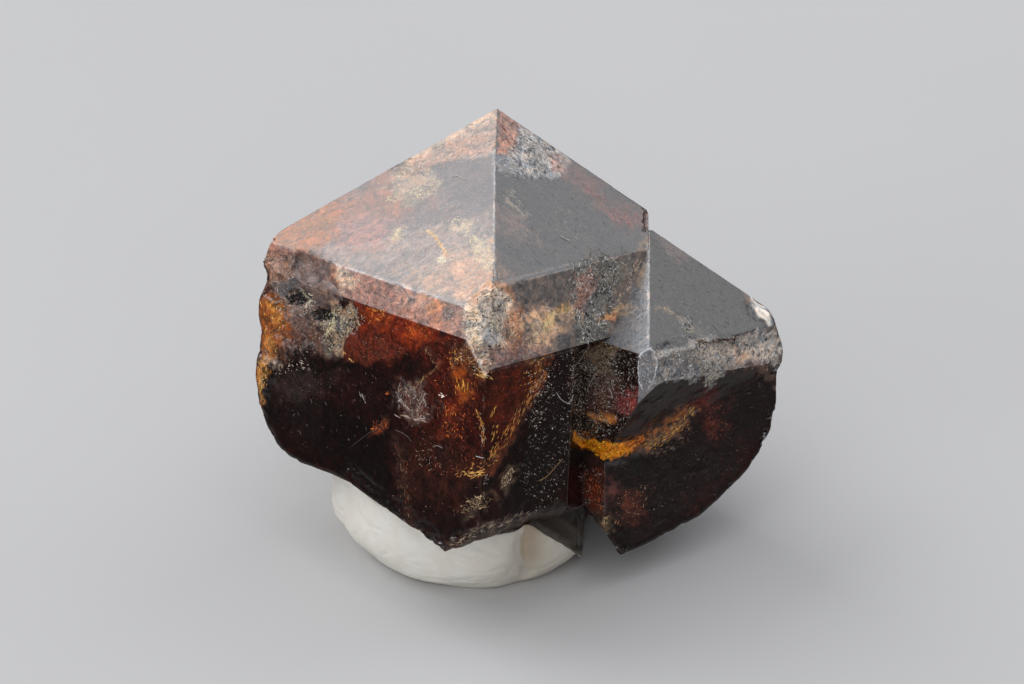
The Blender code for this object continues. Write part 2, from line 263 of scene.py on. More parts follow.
# ======================================================================================
# Outlines of the surface's features. Each is a few corners in the photograph's 1024 x 684
# frame, and lies on whatever crystal face those corners fall on.
# ======================================================================================
def polygon_depth(corners, u, v):
    """How far each point lies inside a polygon, in pixels (negative outside)."""
    best = np.full(u.shape, 1e12)
    inside = np.zeros(u.shape, bool)
    n = len(corners)
    for i in range(n):
        ax, ay = corners[i]
        bx, by = corners[(i + 1) % n]
        dx, dy = bx - ax, by - ay
        t = np.clip(((u - ax) * dx + (v - ay) * dy) / (dx * dx + dy * dy + 1e-9), 0, 1)
        best = np.minimum(best, (u - ax - t * dx) ** 2 + (v - ay - t * dy) ** 2)
        if ay != by:
            crosses = (ay > v) != (by > v)
            inside ^= crosses & (u < (bx - ax) * (v - ay) / (by - ay) + ax)
    d = np.sqrt(best)
    return np.where(inside, d, -d)


def line_depth(points, width, u, v):
    """The same for a line of a given width."""
    best = np.full(u.shape, 1e12)
    for (ax, ay), (bx, by) in zip(points, points[1:]):
        dx, dy = bx - ax, by - ay
        t = np.clip(((u - ax) * dx + (v - ay) * dy) / (dx * dx + dy * dy + 1e-9), 0, 1)
        best = np.minimum(best, (u - ax - t * dx) ** 2 + (v - ay - t * dy) ** 2)
    return width / 2 - np.sqrt(best)


def smooth(x):
    x = np.clip(x, 0, 1)
    return x * x * (3 - 2 * x)


# Where the surface is broken, chipped or crusty: outline, edge softness, depth, and kind of relief.
ROUGH_ZONES = [
    # the broken shoulder at the left end, with its pits
    (((262, 250), (300, 252), (331, 262), (337, 293), (364, 312), (358, 336), (330, 352), (285, 345),
      (258, 330), (255, 290)), 6, 0.34, "break"),
    (((286, 295), (300, 293), (309, 300), (300, 308), (288, 305)), 3, 0.42, "pit"),
    (((313, 311), (322, 309), (330, 316), (322, 322), (314, 319)), 3, 0.42, "pit"),
    (((255, 330), (290, 335), (282, 360), (262, 410), (254, 400)), 5, 0.16, "scallop"),
    # chip on the front corner
    (((465, 308), (480, 290), (497, 283), (513, 296), (517, 330), (506, 350), (489, 368), (474, 352),
      (465, 334)), 4, 0.16, "crust"),
    # chips right of the tip
    (((499, 118), (522, 124), (545, 140), (568, 160), (560, 176), (530, 178), (507, 172), (497, 158)),
     4, 0.10, "rope"),
    # crust between the two crystals
    (((576, 262), (600, 254), (628, 252), (640, 262), (634, 290), (612, 312), (604, 340), (580, 345),
      (572, 300)), 5, 0.10, "crust"),
    # crust along the foot of the smaller crystal's pyramid
    (((655, 344), (700, 340), (745, 333), (776, 330), (784, 345), (783, 366), (760, 366), (735, 370),
      (712, 388), (700, 378), (656, 386)), 4, 0.12, "crust"),
    (((704, 372), (712, 368), (720, 373), (712, 388)), 2, 0.16, "pit"),
    # edge of the pyramid above the left end
    (((383, 158), (413, 160), (420, 172), (402, 180), (383, 172)), 4, 0.07, "crust"),
    # orange ledge of the smaller crystal's front break
    (((568, 430), (634, 440), (645, 448), (620, 462), (596, 462), (572, 444)), 4, 0.10, "scallop"),
    # flakes above the dark right face of the larger crystal
    (((520, 305), (560, 298), (578, 320), (560, 345), (520, 356)), 5, 0.06, "rope"),
    # bottom edge
    (((445, 555), (400, 520), (340, 470), (345, 460), (410, 510), (448, 540), (490, 525), (540, 512),
      (540, 522), (490, 540)), 4, 0.08, "crust"),
    (((752, 294), (762, 300), (772, 320), (768, 330), (756, 318), (748, 302)), 3, 0.10, "scallop"),
    (((645, 206), (652, 206), (652, 229), (645, 229)), 2, 0.20, "pit"),
]


# ======================================================================================
# Fine surface
# ======================================================================================
ROW_A, ROW_B = 0.05, 0.10
FINE, MIDDLE, COARSE = 0.080, 0.114, 0.26


def to_world(points):
    return points @ CRYSTAL_R.T + CRYSTAL_T


def view_side(normals_world):
    return normals_world @ CAM_BACK


def wanted_spacing(points, normal):
    """How far apart surface points should lie: close on what is broken, wide on hidden flat faces."""
    world = to_world(points)
    n = CRYSTAL_R @ np.array(normal)
    toward = float(n @ CAM_BACK)
    if toward <= 0.0:
        return np.full(len(points), COARSE if n[2] > -0.75 or toward < -0.2 else 0.2)
    u, v = to_pixels(world)
    rough = np.zeros(len(points), bool)
    for corners, _, _, _ in ROUGH_ZONES:
        rough |= polygon_depth(corners, u, v) > -3
    return np.where(rough, FINE, MIDDLE)


def tessellate(bm):
    """Fills every flat face with well-shaped small triangles. Neighbours share their edge points."""
    points = [v.co.copy() for v in bm.verts]
    normals = [Vector() for _ in bm.verts]
    on_edge = [1.0] * len(points)
    edge_points, edge_sharp = {}, {}
    for e in bm.edges:
        a, b = e.verts
        mids = np.array([a.co.lerp(b.co, t) for t in (0.1, 0.5, 0.9)])
        step = min(float(wanted_spacing(mids, f.normal).min()) for f in e.link_faces)
        n = max(1, math.ceil(e.calc_length() / step))
        ids = [a.index]
        sharp = e.is_convex and e.calc_face_angle(0.0) > math.radians(8)
        for k in range(1, n):
            ids.append(len(points))
            points.append(a.co.lerp(b.co, k / n))
            normals.append(Vector())
            on_edge.append(1.0 if sharp else 0.5)
        ids.append(b.index)
        edge_points[e.index], edge_sharp[e.index] = ids, sharp
    triangles, names = [], []
    for f in bm.faces:
        n = f.normal.copy()
        origin = f.calc_center_median()
        tx = n.orthogonal().normalized()
        ty = n.cross(tx)
        name = face_name(f)
        ring, ring_sharp = [], []
        for l in f.loops:
            ids = edge_points[l.edge.index]
            if l.vert.index != ids[0]:
                ids = ids[::-1]
            ring += ids[:-1]
            ring_sharp += [edge_sharp[l.edge.index]] * (len(ids) - 1)
        for i in ring:
            normals[i] += n
        r3 = np.array([points[i] for i in ring]) - np.array(origin)
        ring2 = np.stack([r3 @ np.array(tx), r3 @ np.array(ty)], 1)
        m = len(ring)
        a2, b2 = ring2, np.roll(ring2, -1, 0)
        along = b2 - a2
        length = np.linalg.norm(along, axis=1, keepdims=True) + 1e-12
        inward = np.stack([-along[:, 1], along[:, 0]], 1) / length
        if ((a2[:, 0] * b2[:, 1] - b2[:, 0] * a2[:, 1]).sum()) < 0:
            inward = -inward
        corner = inward + np.roll(inward, 1, 0)
        corner /= np.linalg.norm(corner, axis=1, keepdims=True) + 1e-12

        def edge_distance(p):
            out = np.full(len(p), 1e9)
            for lo in range(0, len(p), 4000):
                q = p[lo:lo + 4000, None, :]
                t = np.clip(((q - a2) * along).sum(2) / (length[:, 0] ** 2), 0, 1)
                d = np.linalg.norm(q - a2 - t[..., None] * along, axis=2)
                out[lo:lo + 4000] = d.min(1)
            return out

        inner = []
        for row, offset in ((ROW_A, 0.0), (ROW_B, 0.5)):
            p = a2 + along * offset + corner * row
            ok = (edge_distance(p) > row * 0.82) & (polygon_depth(ring2, p[:, 0], p[:, 1]) > 0)
            inner.append(p[ok])
        low, high = ring2.min(0), ring2.max(0)
        for level, step in ((0, FINE), (1, MIDDLE), (2, 0.2), (3, COARSE)):
            nx = int((high[0] - low[0]) / step) + 2
            ny = int((high[1] - low[1]) / (step * 0.866)) + 2
            if nx * ny > 400000:
                continue
            j, i = np.mgrid[0:ny, 0:nx]
            p = np.stack([(low[0] + (i + 0.5 * (j % 2)) * step).ravel(),
                          (low[1] + j * step * 0.866).ravel()], 1)
            p = p + np.random.RandomState(17 + level).uniform(-0.16, 0.16, p.shape) * step
            inside = polygon_depth(ring2, p[:, 0], p[:, 1]) > 0
            p = p[inside]
            if not len(p):
                continue
            p3 = np.array(origin) + p[:, :1] * np.array(tx) + p[:, 1:] * np.array(ty)
            want = wanted_spacing(p3, n)
            p = p[np.abs(want - step) < 1e-6]
            if not len(p):
                continue
            p = p[edge_distance(p) > max(ROW_B + 0.03, step * 0.6)]
            inner.append(p)
        inner = np.concatenate(inner) if inner else np.zeros((0, 2))
        flat = [Vector(p) for p in ring2] + [Vector(p) for p in inner]
        first = len(points)
        out_co, _, out_faces, out_orig, _, _ = delaunay_2d_cdt(flat, [], [list(range(m))], 1, 1e-9)
        where = []
        extra = {}
        for k, sources in enumerate(out_orig):
            where.append(min(sources) if sources else -1)
        for p in inner:
            points.append(origin + tx * float(p[0]) + ty * float(p[1]))
            normals.append(n.copy())
            on_edge.append(0.0)
        for tri in out_faces:
            ids = []
            for k in tri:
                s = where[k]
                if s < 0:
                    if k not in extra:
                        extra[k] = len(points)
                        points.append(origin + tx * out_co[k].x + ty * out_co[k].y)
                        normals.append(n.copy())
                        on_edge.append(0.0)
                    ids.append(extra[k])
                else:
                    ids.append(ring[s] if s < m else first + s - m)
            (x0, y0), (x1, y1), (x2, y2) = (out_co[k][:] for k in tri)
            if (x1 - x0) * (y2 - y0) - (x2 - x0) * (y1 - y0) < 0:
                ids.reverse()
            triangles.append(ids)
            names.append(NAMES.index(name))
    return (np.array([p[:] for p in points]), np.array([n.normalized()[:] for n in normals]),
            np.array(on_edge), np.array(triangles), np.array(names))


def fbm(points, scale, octaves=4, seed=0.0, rough=1.0):
    shift = Vector((seed * 7.13, seed * 3.71, -seed * 5.37))
    return np.array([noise.fractal(Vector(p) * scale + shift, rough, 2.1, octaves) for p in points])


def chips(points, scale, seed=0.0, tilt=0.5):
    """Small flat tilted faces, as a brittle break shows. About -0.5 to 0.5."""
    out = np.empty(len(points))
    shift = Vector((seed * 3.3, -seed * 1.7, seed * 2.9))
    for k, p in enumerate(points):
        q = Vector(p) * scale + shift
        _, near = noise.voronoi(q, distance_metric="DISTANCE", exponent=2.5)
        c = near[0]
        slope = noise.cell_vector(c * 37.0) - Vector((0.5, 0.5, 0.5))
        out[k] = (q - c).dot(slope) * 2 * tilt + (noise.cell(c * 53.0) - 0.5) * 0.6
    return out


# The worn and broken outline of the pair: corners in pixels, and how round the edge is there.
OUTLINE = [
    (497, 107, 1.0), (522, 121, 1.2), (546, 136, 1.5), (573, 156, 1.5), (602, 177, 1.5), (628, 194, 1.5),
    (648, 208, 1.5), (651, 228, 1.2), (668, 236, 1.5), (700, 257, 1.5), (728, 277, 1.5), (748, 292, 2.0),
    (763, 299, 2.5), (774, 318, 3.0), (779, 334, 2.5), (784, 350, 2.5), (782, 366, 2.5), (777, 374, 2.5),
    (777, 410, 4.0), (774, 430, 6.0), (766, 446, 7.0), (752, 466, 7.0), (740, 480, 7.0), (720, 500, 7.0),
    (700, 517, 7.0), (680, 527, 7.0), (660, 537, 6.0), (640, 548, 5.0), (620, 558, 4.0), (602, 561, 4.0),
    (520, 562, 3.0), (447, 556, 2.5), (440, 551, 3.0), (420, 535, 3.0), (395, 516, 4.0), (370, 498, 4.0),
    (346, 481, 5.0), (331, 474, 6.0), (309, 467, 6.0), (298, 464, 6.0), (290, 460, 6.0), (281, 452, 7.0),
    (274, 440, 7.0), (267, 428, 7.0), (262, 416, 7.0), (258, 402, 6.0), (255, 388, 5.0), (254, 373, 4.0),
    (255, 361, 4.0), (258, 351, 5.0), (260, 340, 5.0), (260, 327, 5.0), (257, 315, 5.0), (257, 304, 5.5),
    (260, 294, 6.0), (266, 284, 6.0), (267, 276, 6.0), (265, 270, 5.5), (262, 263, 5.0), (264, 252, 4.0),
    (268, 242, 3.0), (275, 233, 2.5), (300, 219, 1.5), (340, 195, 1.5), (380, 171, 1.5), (396, 161, 1.5),
    (413, 156, 1.5), (430, 146, 1.5), (455, 130, 1.5), (478, 117, 1.2),
]


def worn_outline(world):
    """Moves what sticks out of the outline in, square to the line of sight."""
    u, v = to_pixels(world)
    best = np.full(len(u), 1e12)
    near = np.zeros((len(u), 2))
    inward = np.zeros((len(u), 2))
    soft = np.ones(len(u))
    n = len(OUTLINE)
    for i in range(n):
        ax, ay, sa = OUTLINE[i]
        bx, by, sb = OUTLINE[(i + 1) % n]
        dx, dy = bx - ax, by - ay
        t = np.clip(((u - ax) * dx + (v - ay) * dy) / (dx * dx + dy * dy), 0, 1)
        qx, qy = ax + t * dx, ay + t * dy
        d2 = (u - qx) ** 2 + (v - qy) ** 2
        c = d2 < best
        best = np.where(c, d2, best)
        near[c, 0], near[c, 1] = qx[c], qy[c]
        length = math.hypot(dx, dy)
        inward[c] = (-dy / length, dx / length)
        soft[c] = (sa * (1 - t) + sb * t)[c]
    d = polygon_depth([(x, y) for x, y, _ in OUTLINE], u, v)
    fresh = np.where(d < -soft, 0.0, np.where(d < soft, (d + soft) ** 2 / (4 * soft), d))
    shift = fresh - d
    away = np.stack([u, v], 1) - near
    far = np.abs(d) > 1.0
    away = np.where(far[:, None], away / np.maximum(np.abs(d), 1e-6)[:, None] * np.sign(d)[:, None], inward)
    move = shift[:, None] * away / PX_PER_MM
    return move[:, :1] * CAM_RIGHT - move[:, 1:] * CAM_UP


CRISP = {"PL", "PR", "PBL", "PBR", "SL", "SR", "SBL", "SBR", "NL", "NR", "NF", "NBL", "NBR"}
LOW = {"UNDER", "LFB", "NU1", "NU2", "NU3", "NU4", "NU5", "NU6", "LLC", "BC", "NBK"}
BLUNT = {"LC", "SIDE"}


def edge_samples(bm):
    """Points along every sharp outer edge, with half the turn there and how blunt the edge is."""
    out = []
    for e in bm.edges:
        if len(e.link_faces) != 2 or not e.is_convex:
            continue
        turn = e.calc_face_angle(0.0)
        if turn < math.radians(8):
            continue
        kinds = {face_name(f) for f in e.link_faces}
        if kinds & LOW:
            wide = 0.34
        elif kinds & BLUNT:
            wide = 0.40
        elif kinds <= CRISP:
            wide = 0.055
        else:
            wide = 0.085
        a, b = e.verts
        n = max(1, int(e.calc_length() / 0.03))
        for k in range(n + 1):
            out.append((a.co.lerp(b.co, k / n), turn / 2, wide))
    return out


ideal = ideal_crystal()
sharp_edges = edge_samples(ideal)
points, normals, on_edge, triangles, tri_name = tessellate(ideal)
ideal.free()
print("crystal points", len(points), "triangles", len(triangles))

edge_tree = KDTree(len(sharp_edges))
for k, (co, _, _) in enumerate(sharp_edges):
    edge_tree.insert(co, k)
edge_tree.balance()
edge_gap, edge_half, edge_wide = (np.zeros(len(points)) for _ in range(3))
for k, p in enumerate(points):
    _, found, gap = edge_tree.find(p)
    edge_gap[k], edge_half[k], edge_wide[k] = gap, sharp_edges[found][1], sharp_edges[found][2]

world = to_world(points)
outline_move = worn_outline(world)
world = world + outline_move
normals_world = normals @ CRYSTAL_R.T
pix_u, pix_v = to_pixels(world)
toward = view_side(normals_world)
seen = toward > 0.0

# warps that make every painted or broken outline ragged
warp_a = np.stack([fbm(points, 0.9, 2, 1.0), fbm(points, 0.9, 2, 2.0)], 1)
warp_b = np.stack([fbm(points, 3.6, 3, 3.0), fbm(points, 3.6, 3, 4.0)], 1)


def zone_weight(corners, soft, warp=0.0, width=None):
    u = pix_u + warp * (warp_a[:, 0] * 1.4 + warp_b[:, 0])
    v = pix_v + warp * (warp_a[:, 1] * 1.4 + warp_b[:, 1])
    d = polygon_depth(corners, u, v) if width is None else line_depth(corners, width, u, v)
    return np.where(seen, smooth(d / (2.0 * soft) + 0.5), 0.0)


depth = np.zeros(len(points))
rough_mask = np.zeros(len(points))
for corners, soft, deep, kind in ROUGH_ZONES:
    w = zone_weight(corners, soft, 2.5)
    at = np.nonzero(w > 0.002)[0]
    if not len(at):
        continue
    p = points[at]
    if kind == "break":
        h = 0.42 + 0.34 * chips(p, 0.85, 1.0) + 0.20 * fbm(p, 1.3, 4, 5.0) + 0.10 * chips(p, 2.6, 2.0)
    elif kind == "pit":
        h = 1.0 + 0.25 * fbm(p, 3.0, 3, 6.0)
    elif kind == "scallop":
        h = 0.45 + 0.55 * np.abs(np.sin(p[:, 2] * 3.1 + 1.6 * fbm(p, 0.8, 2, 7.0))) - 0.3 \
            + 0.25 * chips(p, 1.9, 3.0)
    elif kind == "rope":
        along = p @ np.array((0.55, 0.25, -0.80))
        h = 0.45 + 0.55 * fbm(np.stack([p[:, 0] * 2.4, p[:, 1] * 2.4, along * 0.7], 1), 1.6, 4, 8.0)
    else:
        h = 0.45 + 0.35 * fbm(p, 2.6, 5, 9.0, 0.7) + 0.35 * chips(p, 2.4, 4.0)
    depth[at] += w[at] * deep * np.clip(h, 0.0, 1.4)
    rough_mask[at] = np.maximum(rough_mask[at], w[at])

# the sides, back and underside, which the outlines above don't reach
BACK_BREAKS = [((-5.2, 5.0, -9.0), 3.0, 0.38), ((3.9, 6.0, -12.0), 2.5, 0.42), ((10.2, 2.4, -9.0), 1.8, 0.30),
               ((-8.8, 1.8, -6.2), 1.8, 0.30), ((-2.0, 8.2, -7.4), 1.5, 0.25), ((-1.6, 1.8, -2.2), 1.3, 0.10)]
back_rough = np.zeros(len(points))
for centre, radius, deep in BACK_BREAKS:
    d = np.linalg.norm(points - np.array(centre), axis=1) / radius
    w = np.where((d < 1) & (toward < 0.05), (1 - np.minimum(d, 1) ** 2) ** 2, 0.0)
    at = np.nonzero(w > 0.002)[0]
    if len(at):
        p = points[at]
        depth[at] += w[at] * deep * np.clip(0.6 + 0.5 * chips(p, 0.9, 5.0) + 0.2 * fbm(p, 1.6, 4, 5.0), 0, 1.4)
        back_rough = np.maximum(back_rough, w)
under = smooth((-normals[:, 2] - 0.3) / 0.5)
at = np.nonzero(under > 0.01)[0]
depth[at] += under[at] * np.clip(0.10 + 0.16 * fbm(points[at], 0.8, 4, 11.0) + 0.10 * chips(points[at], 0.8, 6.0), 0, 0.4)

# growth faces aren't perfect planes, and the edges between faces are worn and nicked
wave = fbm(points, 0.45, 2, 12.0)
depth += 0.010 + 0.010 * wave
nick = fbm(points, 2.3, 3, 13.0)
nick2 = fbm(points, 0.7, 2, 14.0)
chip_at = np.clip(nick * 0.8 + nick2 * 0.7 - 0.10, 0, 0.6)
round_over = edge_wide * (1.0 + np.where(edge_wide > 0.2, 2.2, 2.0) * chip_at)
bite = np.maximum(round_over - edge_gap, 0.0) ** 2 / round_over * np.minimum(np.tan(edge_half), 1.1) * 0.5
depth += bite * np.where(edge_wide > 0.2, 1.0 + 0.7 * nick, 1.0)
# edges that get the paler colour of wear, which also paints their highlight
edge_wear_and_highlight = np.where(on_edge > 0.9, 1.0, 0.0)
depth = np.clip(depth, 0.0, 0.62)
surface = to_world(points - normals * depth[:, None]) + outline_move

mesh = bpy.data.meshes.new("zircon_body")
mesh.from_pydata((surface * MM).tolist(), [], triangles.tolist())
mesh.validate()
body = bpy.data.objects.new("zircon_body", mesh)
bpy.context.scene.collection.objects.link(body)
mesh.shade_smooth()
mesh.set_sharp_from_angle(angle=math.radians(26))
print("faces after validate", len(mesh.polygons), "of", len(triangles))

# ======================================================================================
# Colour, clearness, roughness and grain of the surface
# ======================================================================================
# tint, clear (how much light passes), rough, grain (fine relief), fleck (pale flecks), dark (dark spots: painted shade
# of small pits, and dark grains)
# The face tints also hold painted light: faces turned to the left are painted lighter than their twins turned to the
# right (PL and PR, SL and SR, PBL and PBR, NL and NR), the grey of the upper faces is partly painted reflection, and
# the orange of SIDE, LC and LLC is painted glow of light shining through the left end.
FACE_LOOK = {
    "PL": ((0.160, 0.120, 0.130), 0.38, 0.26, 0.14, 0.6, 0.0),
    "PR": ((0.068, 0.068, 0.078), 0.4, 0.25, 0.22, 0.2, 0.05),
    "SL": ((0.52, 0.225, 0.155), 0.22, 0.42, 0.6, 0.35, 0.15),
    "SR": ((0.24, 0.19, 0.165), 0.35, 0.33, 0.6, 0.2, 0.15),
    "ML": ((0.16, 0.03, 0.012), 0.93, 0.08, 0.06, 0.0, 0.0),
    "MR": ((0.06, 0.018, 0.012), 0.9, 0.1, 0.1, 0.0, 0.0),
    "MR2": ((0.06, 0.02, 0.014), 0.88, 0.12, 0.15, 0.0, 0.0),
    "SIDE": ((0.62, 0.22, 0.05), 0.5, 0.3, 0.5, 0.2, 0.0),
    "LC": ((0.6, 0.3, 0.15), 0.4, 0.35, 0.5, 0.2, 0.0),
    "LLC": ((0.35, 0.12, 0.03), 0.7, 0.25, 0.4, 0.1, 0.0),
    "RIGHT": ((0.14, 0.06, 0.035), 0.5, 0.35, 0.8, 0.3, 0.3),
    "STEP": ((0.16, 0.1, 0.07), 0.45, 0.4, 0.8, 0.2, 0.2),
    "UNDER": ((0.09, 0.045, 0.03), 0.55, 0.50, 0.9, 0.1, 0.2),
    "LFB": ((0.10, 0.055, 0.035), 0.60, 0.45, 0.8, 0.1, 0.2),
    "CHIP": ((0.78, 0.64, 0.5), 0.05, 0.6, 1.0, 0.4, 0.35),
    "BC": ((0.20, 0.10, 0.06), 0.50, 0.45, 0.8, 0.2, 0.1),
    "PBL": ((0.24, 0.18, 0.165), 0.38, 0.27, 0.35, 0.3, 0.05),
    "PBR": ((0.16, 0.13, 0.125), 0.40, 0.26, 0.35, 0.2, 0.05),
    "SBL": ((0.24, 0.15, 0.12), 0.35, 0.40, 0.6, 0.2, 0.1),
    "SBR": ((0.18, 0.12, 0.10), 0.40, 0.38, 0.6, 0.2, 0.1),
    "MBL": ((0.14, 0.028, 0.012), 0.90, 0.10, 0.15, 0.05, 0.0),
    "MBR": ((0.12, 0.026, 0.012), 0.90, 0.11, 0.15, 0.05, 0.0),
    "NL": ((0.22, 0.225, 0.24), 0.35, 0.28, 0.35, 0.2, 0.0),
    "NR": ((0.012, 0.011, 0.013), 0.42, 0.27, 0.3, 0.05, 0.03),
    "NF": ((0.33, 0.33, 0.35), 0.35, 0.34, 0.4, 0.1, 0.0),
    "NBL": ((0.14, 0.12, 0.12), 0.40, 0.30, 0.4, 0.1, 0.0),
    "NBR": ((0.11, 0.095, 0.095), 0.42, 0.28, 0.4, 0.1, 0.05),
    "NPL": ((0.13, 0.065, 0.05), 0.72, 0.14, 0.2, 0.0, 0.0),
    "NPR": ((0.3, 0.26, 0.24), 0.3, 0.42, 0.7, 0.3, 0.3),
    "NPBL": ((0.10, 0.03, 0.015), 0.85, 0.12, 0.2, 0.0, 0.0),
    "NPBR": ((0.10, 0.03, 0.015), 0.85, 0.12, 0.2, 0.0, 0.0),
    "K": ((0.055, 0.018, 0.012), 0.88, 0.15, 0.15, 0.0, 0.0),
    "K2": ((0.05, 0.018, 0.013), 0.85, 0.18, 0.2, 0.0, 0.0),
}
DEFAULT_LOOK = ((0.07, 0.035, 0.022), 0.70, 0.32, 0.5, 0.1, 0.1)
UPPER = {"PL", "PR", "SL", "SR", "PBL", "PBR", "SBL", "SBR"}
LOWER_LEFT = {"ML", "LFB"}
SMALL_FRONTS = {"K", "K2"}

